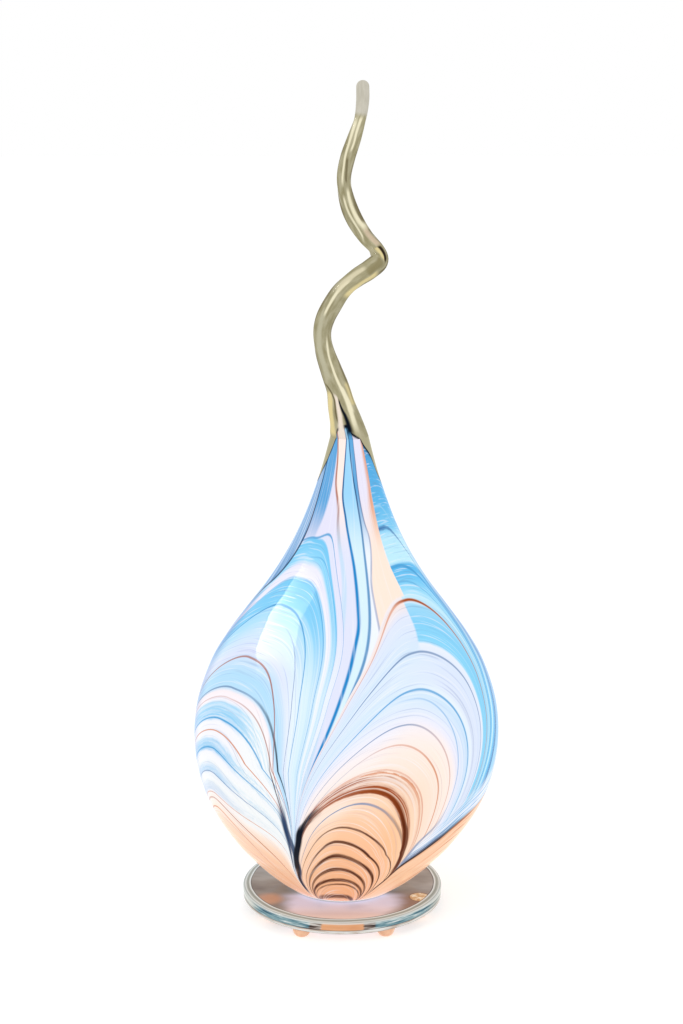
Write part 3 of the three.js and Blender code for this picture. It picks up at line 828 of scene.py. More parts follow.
class PulledFeathers:
    """The pattern of the cased glass: bands pulled up into lobes, whose lines run together in valleys.

    A place on the shade has an angle from the front towards +X, in degrees, and a height as a share of the
    shade's. Between two valleys a band climbs to the lobe's crown, and its level is its height there.
    """

    KNOTS = (0, 0.08, 0.2, 0.35, 0.5, 0.65, 0.8, 1)
    FRONT_VALLEY = (-28, -27, -21, -15, -5, 5, -2, -6)
    RIGHT_VALLEY = (24, 36, 56, 73, 84, 94, 95, 80)
    RIGHT_CROWN = (-4, -3, -3, 10, 27, 41, 49, 45)
    LEFT_VALLEY = ((0, -118), (0.5, -125), (1, -125))
    LEFT_CROWN = ((0, -66), (0.35, -58), (0.7, -47), (1, -30))
    VEIL_EDGE = (
        (0.1, -23), (0.35, 0), (0.5, 20), (0.6, 40), (0.68, 43), (0.78, 39), (0.88, 40), (0.935, 42),
        (1, 38),
    )
    LEFT_OUTLINE = (
        (0.5, -104), (0.6, -95), (0.66, -88), (0.71, -73), (0.77, -62), (0.84, -58), (0.95, -61), (1, -63),
    )
    RIGHT_FOLD = (
        (-180, -0.1), (12, -0.1), (16, 0), (19.4, 0.049), (23.3, 0.085), (27.6, 0.125), (35.4, 0.156),
        (43.5, 0.184), (54.6, 0.216), (64.6, 0.228), (75.4, 0.241), (95, 0.25), (130, 0.2), (180, 0.1),
    )
    SLATE_EDGE = (
        (0.1, 25), (0.131, 27), (0.164, 29.2), (0.19, 31.3), (0.228, 37.4), (0.265, 40.3), (0.35, 42.7),
        (0.5, 44),
    )
    FLANK = ((0, 66), (0.1, 73), (0.2, 79), (0.34, 86), (0.5, 91), (1, 96))
    BACK_VALLEY = 165
    TURN = (-180, 360)
    CROWN_ROUND = 0.2
    FEATHERING = 85
    SIDE_LEAST = 0.0005
    SIDE_MOST = 0.9995
    CURL_LEAST = 0.9
    DEPTH_LEAST = 0.01

    def __init__(self, form: ShadeForm) -> None:
        """Build the groups that the pattern's materials place.

        Args:
            form: Sizes of the shade.
        """
        self.form = form
        self.place_group = self.make_place()
        self.lobe_group = self.make_lobe()
        self.line_group = self.make_line()
        self.strand_group = self.make_strand()

    def make_place(self) -> bpy.types.NodeTree:
        """Make the group that turns a place in metres into an angle and a share of the height.

        Returns:
            The group.
        """
        group = Group("shade place", {"Place": Vector}, {"Angle": float, "Height": float})
        n = group.nodes
        x, y, z = n.split(group.given["Place"])
        height = n.math("DIVIDE", n.minus(z, self.form.lip_height), self.form.height)
        reach = n.math("POWER", n.math("MAXIMUM", height, 0), 0.5)
        beside = n.math("MULTIPLY_ADD", reach, -self.form.lean, x)
        angle = n.math("DEGREES", n.math("ARCTAN2", beside, n.times(y, -1)))
        group.give("Angle", angle)
        group.give("Height", height)
        return group.tree

    def make_lobe(self) -> bpy.types.NodeTree:
        """Make the group that gives the level of a place in one lobe, and its side, -1 to 1.

        Returns:
            The group.
        """
        depths = ("Left Depth", "Left Rise", "Left Curl", "Left Uncurl")
        rights = tuple(name.replace("Left", "Right") for name in depths)
        names = ("Angle", "Height", "Left", "Right", "Crown", *depths, *rights)
        results = {"Level": float, "Side": float, "Inside": float}
        group = Group("pulled lobe", {name: float for name in names}, results)
        n = group.nodes
        given = group.given
        height = given["Height"]
        offset = n.math("WRAP", n.minus(given["Angle"], given["Crown"]), 180, -180)
        round_squared = self.CROWN_ROUND**2
        whole = math.sqrt(1 + round_squared) - self.CROWN_ROUND
        levels = []
        sides = []
        for hand, sign in (("Left", -1), ("Right", 1)):
            reach = n.math("ABSOLUTE", n.minus(given[hand], given["Crown"]))
            share = n.math("DIVIDE", n.times(offset, sign), reach)
            side = n.math("MINIMUM", n.math("MAXIMUM", share, self.SIDE_LEAST), self.SIDE_MOST)
            rounded = n.math("SQRT", n.math("MULTIPLY_ADD", side, side, round_squared))
            rounded = n.math("DIVIDE", n.minus(rounded, self.CROWN_ROUND), whole)
            rounded = n.math("MINIMUM", rounded, self.SIDE_MOST)
            depth = n.math("MULTIPLY_ADD", height, given[hand + " Rise"], given[hand + " Depth"])
            curl = n.math("MULTIPLY_ADD", height, given[hand + " Uncurl"], given[hand + " Curl"])
            bent = n.math("POWER", rounded, n.math("MAXIMUM", curl, self.CURL_LEAST))
            fall = n.math("LOGARITHM", n.minus(1, bent), math.e)
            drop = n.times(n.math("MAXIMUM", depth, self.DEPTH_LEAST), fall)
            levels.append(n.minus(height, drop))
            sides.append((side, share))
        on_right = n.math("GREATER_THAN", offset, 0)
        group.give("Level", n.between(on_right, levels[0], levels[1]))
        group.give("Side", n.between(on_right, n.times(sides[0][0], -1), sides[1][0]))
        widest = n.math("MAXIMUM", sides[0][1], sides[1][1])
        group.give("Inside", n.math("LESS_THAN", widest, 1))
        return group.tree

    def make_line(self) -> bpy.types.NodeTree:
        """Make the group that draws one line of glass along a level, over a colour.

        Returns:
            The group.
        """
        numbers = ("Level", "Side", "Jitter", "Fine", "Middle", "Left Bend", "Right Bend", "Width", "Rough")
        strengths = ("Left", "Crown", "Right")
        inputs = {"Under": Colour, "Line": Colour, **{name: float for name in (*numbers, *strengths)}}
        group = Group("drawn line", inputs, {"Colour": Colour})
        n = group.nodes
        given = group.given
        side = given["Side"]
        squared = n.times(side, side)
        on_right = n.math("GREATER_THAN", side, 0)
        bend = n.between(on_right, given["Left Bend"], given["Right Bend"])
        middle = n.math("MULTIPLY_ADD", squared, bend, given["Middle"])
        middle = n.math("MULTIPLY_ADD", given["Jitter"], given["Rough"], middle)
        away = n.math("DIVIDE", n.minus(given["Level"], middle), given["Width"])
        squared_away = n.times(away, away)
        mask = n.math("EXPONENT", n.times(n.times(squared_away, squared_away), -1))
        outer = n.between(on_right, given["Left"], given["Right"])
        strength = n.between(n.math("ABSOLUTE", side), given["Crown"], outer)
        feathered = n.times(n.step(given["Fine"], 0.4, 0.62), given["Rough"])
        kept = n.minus(1, n.times(feathered, self.FEATHERING), clamp=True)
        covered = n.times(mask, n.times(n.math("ADD", strength, 0, clamp=True), kept))
        group.give("Colour", n.mix(covered, given["Under"], given["Line"]))
        return group.tree

    def make_strand(self) -> bpy.types.NodeTree:
        """Make the group that lays one strand of the neck over what is left of it.

        Returns:
            The group.
        """
        inputs = {name: Colour for name in ("Under", "Fill", "Line")}
        inputs.update({name: float for name in ("Across", "Softness", "Width", "Strength")})
        group = Group("neck strand", inputs, {"Colour": Colour})
        n = group.nodes
        given = group.given
        across = given["Across"]
        share = n.math("DIVIDE", across, given["Softness"])
        filled = n.math("MULTIPLY_ADD", share, 0.5, 0.5, clamp=True)
        colour = n.mix(filled, given["Under"], given["Fill"])
        away = n.math("DIVIDE", across, given["Width"])
        squared = n.times(away, away)
        mask = n.math("EXPONENT", n.times(n.times(squared, squared), -1))
        group.give("Colour", n.mix(n.times(mask, given["Strength"]), colour, given["Line"]))
        return group.tree


class CasedGlass(PulledFeathers):
    """The finish of the shade's body."""

    GLOW = 0.7
    BASE_SHADE = srgb(182, 182, 182)
    LIP_HEIGHTS = (0.0065, 0.003)
    LIP_COLOUR = srgb(246, 244, 250)
    FLANK_REACH = (17, 1)
    FLANK_SHADE = srgb(164, 178, 208)
    VEIL_SOFTNESS = 0.4
    VEIL_REACH = 110
    RIGHT_VEIL_LEVELS = (0.683, 0.69)
    LEFT_VEIL_LEVELS = (0.8, 0.806)
    LEFT_VEIL_BEND = -0.1
    LEFT_VEIL_ANGLES = (66, 58)
    PLAIN_ANGLES = (62, 70)
    PLAIN_LEVELS = (0.72, 0.76)
    PLAIN_BLUE = srgb(150, 212, 246)
    RIGHT_SHAPE = ((0.08, 0.07, 1.2, 1), (0.34, -0.44, 1.5, -3.5))
    LEFT_SHAPE = ((0.33, -0.32, 0.9, 0), (0.03, 0.3, -1, 5.2))
    KHAKI_EDGE = (
        (-180, 0.95), (-150, 0.9), (-124, 0.93), (-100, 0.905), (-68, 0.943), (-55, 0.975), (-36, 1.02),
        (0, 1.06), (20, 1.04), (38, 0.995), (63, 0.963), (80, 0.916), (100, 0.9), (140, 0.935), (180, 0.95),
    )

    def made(self) -> Finish:
        """Make the finish: coloured glass with a soft light of its own, under a clear skin.

        Returns:
            The finish.
        """
        finish = Finish("cased_feather_glass")
        n = finish.nodes
        spot = n.use(self.place_group, Place=n.place())
        angle, height = spot.outputs["Angle"], spot.outputs["Height"]
        right, left = self.families(n, spot)
        colour = self.veiled(n, right, left, angle, height)
        colour = self.right_foot(n, colour, angle, height)
        colour = self.brushed(n, colour, angle, height)
        colour = n.mix(n.step(height, *self.LIP_HEIGHTS), colour, self.LIP_COLOUR)
        # Painted shade: the glass darkens along each flank, round the angle where the shade's outline falls
        # seen from the front.
        flank = n.minus(n.math("ABSOLUTE", angle), n.curve(height, self.FLANK, *self.TURN))
        flank_painted_shade = n.mix(1, colour, self.FLANK_SHADE, "MULTIPLY")
        colour = n.mix(n.step(n.math("ABSOLUTE", flank), *self.FLANK_REACH), colour, flank_painted_shade)
        colour = self.left_shoulder(n, colour, angle, height)
        colour = self.khaki_over(n, colour, angle, height)
        finish.set(
            Base_Color=n.mix(1, colour, self.BASE_SHADE, "MULTIPLY"),
            Emission_Color=colour,
            Emission_Strength=self.GLOW,
            Roughness=0.03,
            IOR=1.1,
        )
        return finish

    def families(self, n: Nodes, spot: bpy.types.Node) -> tuple[dict, dict]:
        """Give the two families of lobes, whose valleys and crowns follow curves up the shade.

        Args:
            n: Writer of the material's nodes.
            spot: The place group.

        Returns:
            The right family and the left one, as lobes gives them.
        """
        height = spot.outputs["Height"]
        front_valley = n.curve(height, tuple(zip(self.KNOTS, self.FRONT_VALLEY)), *self.TURN)
        right_valley = n.curve(height, tuple(zip(self.KNOTS, self.RIGHT_VALLEY)), *self.TURN)
        right_crown = n.curve(height, tuple(zip(self.KNOTS, self.RIGHT_CROWN)), *self.TURN)
        left_valley = n.curve(height, self.LEFT_VALLEY, *self.TURN)
        left_crown = n.curve(height, self.LEFT_CROWN, *self.TURN)
        left_turned = n.math("ADD", left_valley, 360)
        right_back_crown = n.times(n.math("ADD", left_turned, self.BACK_VALLEY), 0.5)
        left_back_crown = n.times(n.math("ADD", right_valley, self.BACK_VALLEY), 0.5)
        front = (front_valley, right_valley, right_crown)
        behind = (self.BACK_VALLEY, left_turned, right_back_crown)
        right = self.lobes(n, spot, front, behind, self.RIGHT_SHAPE)
        front = (left_valley, front_valley, left_crown)
        behind = (right_valley, self.BACK_VALLEY, left_back_crown)
        return right, self.lobes(n, spot, front, behind, self.LEFT_SHAPE)

    def veiled(self, n: Nodes, right: dict, left: dict, angle: Socket, height: Socket) -> Socket:
        """Give the colour of both families, with the neck's strands as a veil over their tops, which on the
        right also paints a softbox's reflection.

        Args:
            n: Writer of the material's nodes.
            right: The right family.
            left: The left family.
            angle: Angle from the front, in degrees.
            height: Share of the shade's height.

        Returns:
            The colour.
        """
        right_colour = self.right_family(n, right)
        left_colour = self.left_family(n, left)
        neck_colour = self.neck(n, angle, height)
        # Painted reflection: on the right shoulder the neck's pale strands fill the wedge of a softbox's
        # reflection, out to its edge.
        past_edge = n.minus(angle, n.curve(height, self.VEIL_EDGE, *self.TURN))
        inside_painted_reflection = n.step(past_edge, -self.VEIL_SOFTNESS, self.VEIL_SOFTNESS, 1, 0)
        front_only = n.math("LESS_THAN", n.math("ABSOLUTE", angle), self.VEIL_REACH)
        right_neck_and_painted_reflection = n.times(n.step(right["Level"], *self.RIGHT_VEIL_LEVELS), inside_painted_reflection, front_only)
        side = n.math("MAXIMUM", left["Side"], 0)
        left_level = n.math("MULTIPLY_ADD", n.times(side, side), self.LEFT_VEIL_BEND, left["Level"])
        left_neck = n.times(n.step(left_level, *self.LEFT_VEIL_LEVELS), n.step(angle, *self.LEFT_VEIL_ANGLES))
        right_colour = n.mix(right_neck_and_painted_reflection, right_colour, neck_colour)
        left_colour = n.mix(left_neck, left_colour, neck_colour)
        past_right = n.times(n.step(angle, *self.PLAIN_ANGLES), n.step(left["Level"], *self.PLAIN_LEVELS))
        left_colour = n.mix(past_right, left_colour, self.PLAIN_BLUE)
        return n.mix(right["Inside"], left_colour, right_colour)

    def lobes(
        self, n: Nodes, spot: bpy.types.Node, front: Sequence, behind: Sequence, shape: Sequence
    ) -> dict[str, Socket]:
        """Give the level, side and inside of a family of lobes, one in front and one behind.

        Args:
            n: Writer of the material's nodes.
            spot: The place group.
            front: Left valley, right valley and crown of the lobe in front.
            behind: The same of the lobe behind.
            shape: Depth, rise, curl and uncurl of the left flank, then of the right.

        Returns:
            The sockets of Height, Level, Side, Inside, Jitter and Fine.
        """
        angle, height = spot.outputs["Angle"], spot.outputs["Height"]
        found = []
        names = ("Depth", "Rise", "Curl", "Uncurl")
        for left, right, crown in (front, behind):
            node = n.use(self.lobe_group, Angle=angle, Height=height, Left=left, Right=right, Crown=crown)
            for hand, values in zip(("Left", "Right"), shape):
                for name, value in zip(names, values):
                    node.inputs[f"{hand} {name}"].default_value = value
            found.append(node.outputs)
        first, second = found
        inside = first["Inside"]
        level = n.between(inside, second["Level"], first["Level"])
        wave = n.vector(n.times(angle, 0.05), n.times(level, 40), 0)
        fine = n.noise(n.vector(n.times(angle, 0.03), n.times(level, 260), 5), 1, 2)
        return {
            "Height": height,
            "Level": level,
            "Side": n.between(inside, second["Side"], first["Side"]),
            "Inside": n.math("MAXIMUM", inside, second["Inside"]),
            "Jitter": n.math("MULTIPLY_ADD", n.noise(wave, 3, 4, 0.7), 2, -1),
            "Fine": fine,
        }

    def drawn(self, n: Nodes, colour: Socket, lobe: dict, threads: Sequence[Thread]) -> Socket:
        """Draw threads over a colour.

        Args:
            n: Writer of the material's nodes.
            colour: The colour so far.
            lobe: Sockets of the lobes, as lobes gives them.
            threads: The threads, the lowest first.

        Returns:
            The colour.
        """
        given = {name: lobe[name] for name in ("Level", "Side", "Jitter", "Fine")}
        for thread in threads:
            own = {field.title(): value for field, value in vars(thread).items()}
            colour = n.use(self.line_group, Under=colour, **given, **own).outputs["Colour"]
        return colour

    def combed(self, n: Nodes, colour: Socket, lobe: dict) -> Socket:
        """Comb fine pale and dark hairs of glass along the levels.

        Args:
            n: Writer of the material's nodes.
            colour: The colour so far.
            lobe: Sockets of the lobes, as lobes gives them.

        Returns:
            The colour.
        """
        pale = n.step(lobe["Fine"], 0.55, 0.68, 0, 0.45)
        dark = n.step(lobe["Fine"], 0.43, 0.3, 0, 0.3)
        colour = n.mix(pale, colour, MILK)
        return n.mix(dark, colour, srgb(116, 140, 178))

    def right_family(self, n: Nodes, lobe: dict) -> Socket:
        """Give the colour of the lobe that opens at the front's right.

        Args:
            n: Writer of the material's nodes.
            lobe: Sockets of the lobes, as lobes gives them.

        Returns:
            The colour.
        """
        level = n.math("MULTIPLY_ADD", lobe["Jitter"], 0.002, lobe["Level"])
        right_ground = n.bands(level, RIGHT_GROUND_RIGHT, 0.526)
        left_ground = n.bands(level, RIGHT_GROUND_LEFT, 0.46)
        edge = n.curve(level, (
            (0, 0), (0.6, 0.03), (0.7, -0.11), (0.8, -0.2), (0.9, -0.25), (1, -0.26),
        ), -0.5, 0.5)
        softness = n.step(level, 0.56, 0.6, 0.3, 0.012)
        across = n.math("DIVIDE", n.minus(lobe["Side"], edge), softness)
        ground = n.mix(n.math("MULTIPLY_ADD", across, 0.5, 0.5, clamp=True), left_ground, right_ground)
        ground = self.combed(n, ground, lobe)
        return self.drawn(n, ground, lobe, RIGHT_THREADS)

    def right_foot(self, n: Nodes, colour: Socket, angle: Socket, height: Socket) -> Socket:
        """Lay the slate streaks, the dark fold and the apricot glass under it over the right lobe's foot.

        Args:
            n: Writer of the material's nodes.
            colour: The colour so far.
            angle: Angle from the front, in degrees.
            height: Share of the shade's height.

        Returns:
            The colour.
        """
        share = n.math("MULTIPLY_ADD", angle, 1 / 360, 0.5, clamp=True)
        points = [((turn + 180) / 360, up) for turn, up in self.RIGHT_FOLD]
        over = n.minus(height, n.curve(share, points, -0.1, 0.4))
        beside = n.minus(angle, n.curve(height, self.SLATE_EDGE, *self.TURN))
        rays = n.noise(n.vector(n.times(over, 230), n.times(angle, 0.035), 2), 1, 3)
        pale = n.ramp(rays, ((0.36, srgb(120, 178, 226)), (0.45, srgb(190, 220, 246)), (0.56, MILK)))
        dark = n.ramp(rays, (
            (0.4, srgb(40, 58, 96)), (0.48, srgb(110, 146, 192)), (0.58, srgb(216, 226, 246)),
        ))
        streaks = n.mix(n.step(over, 0.03, 0.01), pale, n.mix(n.step(angle, 56, 38), pale, dark))
        zone = n.times(n.step(beside, -0.4, 0.8), n.step(over, 0.075, 0.03))
        zone = n.times(zone, n.step(angle, 100, 84))
        colour = n.mix(n.times(zone, 0.9), colour, streaks)
        rim = n.times(n.step(beside, -1.3, -0.3), n.step(beside, 1.1, 0.3))
        rim = n.times(rim, n.step(height, 0.11, 0.14), n.step(height, 0.27, 0.2))
        colour = n.mix(n.times(rim, 0.7), colour, SLATE)
        hairs = n.noise(n.vector(n.times(over, 90), n.times(angle, 0.03), 6), 1, 3)
        apricot = n.ramp(
            hairs,
            (
                (0.32, srgb(196, 122, 84)), (0.4, srgb(238, 178, 138)), (0.46, srgb(248, 198, 160)),
                (0.7, srgb(251, 210, 178)),
            ),
        )
        under = n.times(n.step(over, 0.002, -0.002), n.step(angle, 130, 112))
        colour = n.mix(under, colour, apricot)
        fold = n.times(n.step(over, 0.008, 0.003), n.step(over, -0.007, -0.003))
        fold = n.times(fold, n.step(angle, 17, 20), n.step(angle, 62, 40, 0.35, 1), n.step(angle, 100, 80))
        return n.mix(fold, colour, srgb(58, 40, 42))

    def brushed(self, n: Nodes, colour: Socket, angle: Socket, height: Socket) -> Socket:
        """Draw the heavy brushes that follow the valleys at the foot.

        Args:
            n: Writer of the material's nodes.
            colour: The colour so far.
            angle: Angle from the front, in degrees.
            height: Share of the shade's height.

        Returns:
            The colour.
        """
        for brush in BRUSHES:
            away = n.math("ABSOLUTE", n.minus(angle, n.curve(height, brush.path, *self.TURN)))
            low, high = brush.path[0][0], brush.path[-1][0]
            line = n.step(away, brush.width, brush.width * 0.45)
            line = n.times(line, n.step(height, low - 0.005, low + 0.03))
            line = n.times(line, n.step(height, high + 0.005, high - 0.05, 0, brush.strength))
            colour = n.mix(line, colour, brush.colour)
        return colour

    def left_family(self, n: Nodes, lobe: dict) -> Socket:
        """Give the colour of the lobe that opens at the front's left.

        Args:
            n: Writer of the material's nodes.
            lobe: Sockets of the lobes, as lobes gives them.

        Returns:
            The colour.
        """
        side = n.math("MAXIMUM", lobe["Side"], 0)
        squared = n.times(side, side)
        low = n.step(lobe["Level"], 0.6, 0.44)
        rise = n.times(n.times(squared, low), -0.12)
        left_side = n.math("MINIMUM", lobe["Side"], 0)
        left_squared = n.times(left_side, left_side)
        high = n.step(lobe["Level"], 0.5, 0.6, 0, 0.19)
        level = n.math("ADD", n.math("ADD", lobe["Level"], rise), n.times(left_squared, high))
        shake = n.times(n.step(level, 0.5, 0.36, 0.002, 0.011), lobe["Jitter"])
        level = n.math("ADD", level, shake)
        ground = n.bands(level, LEFT_GROUND, 0.478)
        banded = n.step(level, 0.5, 0.47)
        above_peach = n.step(level, 0.235, 0.26)
        streaky = n.vector(n.times(lobe["Side"], 2), n.times(level, 210), 9)
        streaky = n.step(n.noise(streaky, 1, 2), 0.42, 0.6)
        faded = n.times(n.step(side, 0.12, 0.5), n.math("MULTIPLY_ADD", streaky, 0.5, 0.5))
        faded = n.times(faded, n.times(banded, above_peach))
        ground = n.mix(faded, ground, srgb(244, 248, 246))
        flank = n.times(n.times(streaky, above_peach), n.times(banded, 0.35))
        ground = n.mix(flank, ground, MILK)
        paler = n.times(n.step(lobe["Side"], 0.3, 0.75), n.step(level, 0.54, 0.6))
        paler = n.times(paler, n.step(lobe["Height"], 0.68, 0.5, 0, 0.62))
        ground = n.mix(paler, ground, srgb(236, 246, 253))
        ground = self.combed(n, ground, lobe)
        return self.drawn(n, ground, lobe, LEFT_THREADS)

    def neck(self, n: Nodes, angle: Socket, height: Socket | float) -> Socket:
        """Give the colour of the strands that run up the neck.

        Args:
            n: Writer of the material's nodes.
            angle: Angle from the front, in degrees.
            height: Share of the shade's height.

        Returns:
            The colour.
        """
        colour = n.mix(n.step(height, 0.78, 0.88), srgb(206, 214, 240), srgb(96, 166, 220))
        share = n.step(height, 0.76, 0.9)
        narrowing = n.step(height, 0.4, 0.8, 0.36, 0.85)
        for strand in NECK_STRANDS:
            edge = n.curve(height, strand.path, *self.TURN)
            node = n.use(
                self.strand_group,
                Under=colour,
                Fill=n.mix(share, strand.low_fill, strand.high_fill),
                Line=n.mix(share, strand.low_line, strand.high_line),
                Across=n.minus(angle, edge),
                Softness=strand.softness,
                Width=n.times(narrowing, strand.width),
                Strength=strand.strength,
            )
            colour = node.outputs["Colour"]
        hairs = n.noise(n.vector(n.times(angle, 0.5), n.times(height, 5), 0), 1, 3)
        return n.mix(n.step(hairs, 0.52, 0.75, 0, 0.4), colour, MILK)

    def left_shoulder(self, n: Nodes, colour: Socket, angle: Socket, height: Socket) -> Socket:
        """Lay the slate glass over the left shoulder, behind its navy outline.

        Args:
            n: Writer of the material's nodes.
            colour: The colour so far.
            angle: Angle from the front, in degrees.
            height: Share of the shade's height.

        Returns:
            The colour.
        """
        edge = n.curve(height, self.LEFT_OUTLINE, *self.TURN)
        across = n.minus(angle, edge)
        high = n.step(height, 0.6, 0.68)
        hairs = n.noise(n.vector(n.times(angle, 0.35), n.times(height, 4), 0), 1, 3)
        slate = n.ramp(hairs, (
            (0.34, srgb(84, 130, 184)), (0.5, srgb(132, 178, 222)), (0.66, srgb(214, 226, 246)),
        ))
        behind = n.times(n.step(across, 1, -1), n.step(across, -60, -45))
        colour = n.mix(n.times(behind, high), colour, slate)
        line = n.times(n.step(across, -2.4, -0.2), n.step(across, 2.2, 0.2))
        return n.mix(n.times(line, high), colour, NAVY)

    def khaki_over(self, n: Nodes, colour: Socket, angle: Socket, height: Socket) -> Socket:
        """Lay the tail's khaki glass over the neck, down to a dark edge.

        Args:
            n: Writer of the material's nodes.
            colour: The colour so far.
            angle: Angle from the front, in degrees.
            height: Share of the shade's height.

        Returns:
            The colour.
        """
        share = n.math("MULTIPLY_ADD", angle, 1 / 360, 0.5, clamp=True)
        points = [((turn + 180) / 360, up) for turn, up in self.KHAKI_EDGE]
        edge = n.curve(share, points, 0.8, 1.1)
        above = n.minus(height, edge)
        dark = n.times(n.step(above, -0.013, -0.002), n.step(above, 0.006, 0))
        colour = n.mix(dark, colour, INK)
        return n.mix(n.step(above, -0.001, 0.002), colour, KHAKI)


class ShadeBody:
    """The blown body of the shade."""

    SIDES = 240
    LIP_ROUND = 1.3 * MM

    def __init__(self, form: ShadeForm, glass: CasedGlass) -> None:
        """Keep the shade's sizes and its glass."""
        self.form = form
        self.glass = glass

    def mesh(self) -> BMesh:
        """Turn the section, round the lip, and lean the body into its neck.

        Returns:
            The mesh, in place.
        """
        bm = turned(self.form.profile(), self.SIDES, closed=False)
        bottom = self.form.lip_height
        lip = [edge for edge in level_rings(bm) if abs(edge.verts[0].co.z - bottom) < NEAR]
        round_off(bm, lip, self.LIP_ROUND, segments=4)
        for spot in bm.verts:
            share = max(0, (spot.co.z - self.form.lip_height) / self.form.height)
            spot.co.x += self.form.lean * math.sqrt(share)
        smooth(bm)
        return bm

    def build(self) -> bpy.types.Object:
        """Make the body and dress it."""
        finish = self.glass.made()
        return finished(self.mesh(), "shade_body_blown", Body.SHADE, "cased_glass", finish, "shade_body")


@dataclass(frozen=True)
class TailForm:
    """Sizes of the drawn tail, in metres, and the shares that shape it."""

    height: float = 218.4 * MM
    sway: float = 17.3 * MM
    depth: float = 13 * MM
    flute_depth: float = 0.4 * MM
    flutes: int = 4
    flute_turns: float = 3
    line_shares: tuple = (
        (0, 0, 0, 1), (-0.13, 0.08, 0.041, 0.85), (-0.29, 0.27, 0.087, 0.74), (-0.41, 0.38, 0.132, 0.63),
        (-0.66, 0.42, 0.187, 0.57), (-0.9, 0.23, 0.246, 0.53), (-0.99, -0.12, 0.301, 0.5),
        (-0.89, -0.5, 0.346, 0.5), (-0.63, -0.81, 0.39, 0.51), (-0.24, -1, 0.437, 0.52),
        (0.25, -0.92, 0.469, 0.52), (0.72, -0.65, 0.491, 0.51), (1.06, -0.12, 0.513, 0.49),
        (0.95, 0.38, 0.543, 0.44), (0.58, 0.65, 0.575, 0.425), (0.22, 0.65, 0.618, 0.435),
        (-0.02, 0.5, 0.661, 0.44), (-0.17, 0.19, 0.711, 0.42), (-0.2, -0.08, 0.752, 0.395),
        (-0.07, -0.31, 0.804, 0.385), (0.16, -0.42, 0.859, 0.37), (0.38, -0.35, 0.916, 0.345),
        (0.46, -0.19, 0.966, 0.34), (0.46, -0.12, 1, 0.33),
    )


@dataclass(frozen=True)
class Streak:
    """One painted streak along the tail: a highlight, a shade or a line of the glass.

    Its path gives its place across the tail, -1 to 1, at shares of the way up. Its widths are its own at the
    path's two ends.
    """

    path: Points
    start_width: float
    end_width: float
    colour: Colour
    strength: float = 1


CREAM_HIGHLIGHT = srgb(255, 247, 214)
BUTTER_HIGHLIGHT = srgb(246, 228, 168)
KHAKI_PAINTED_SHADE = srgb(122, 112, 82)

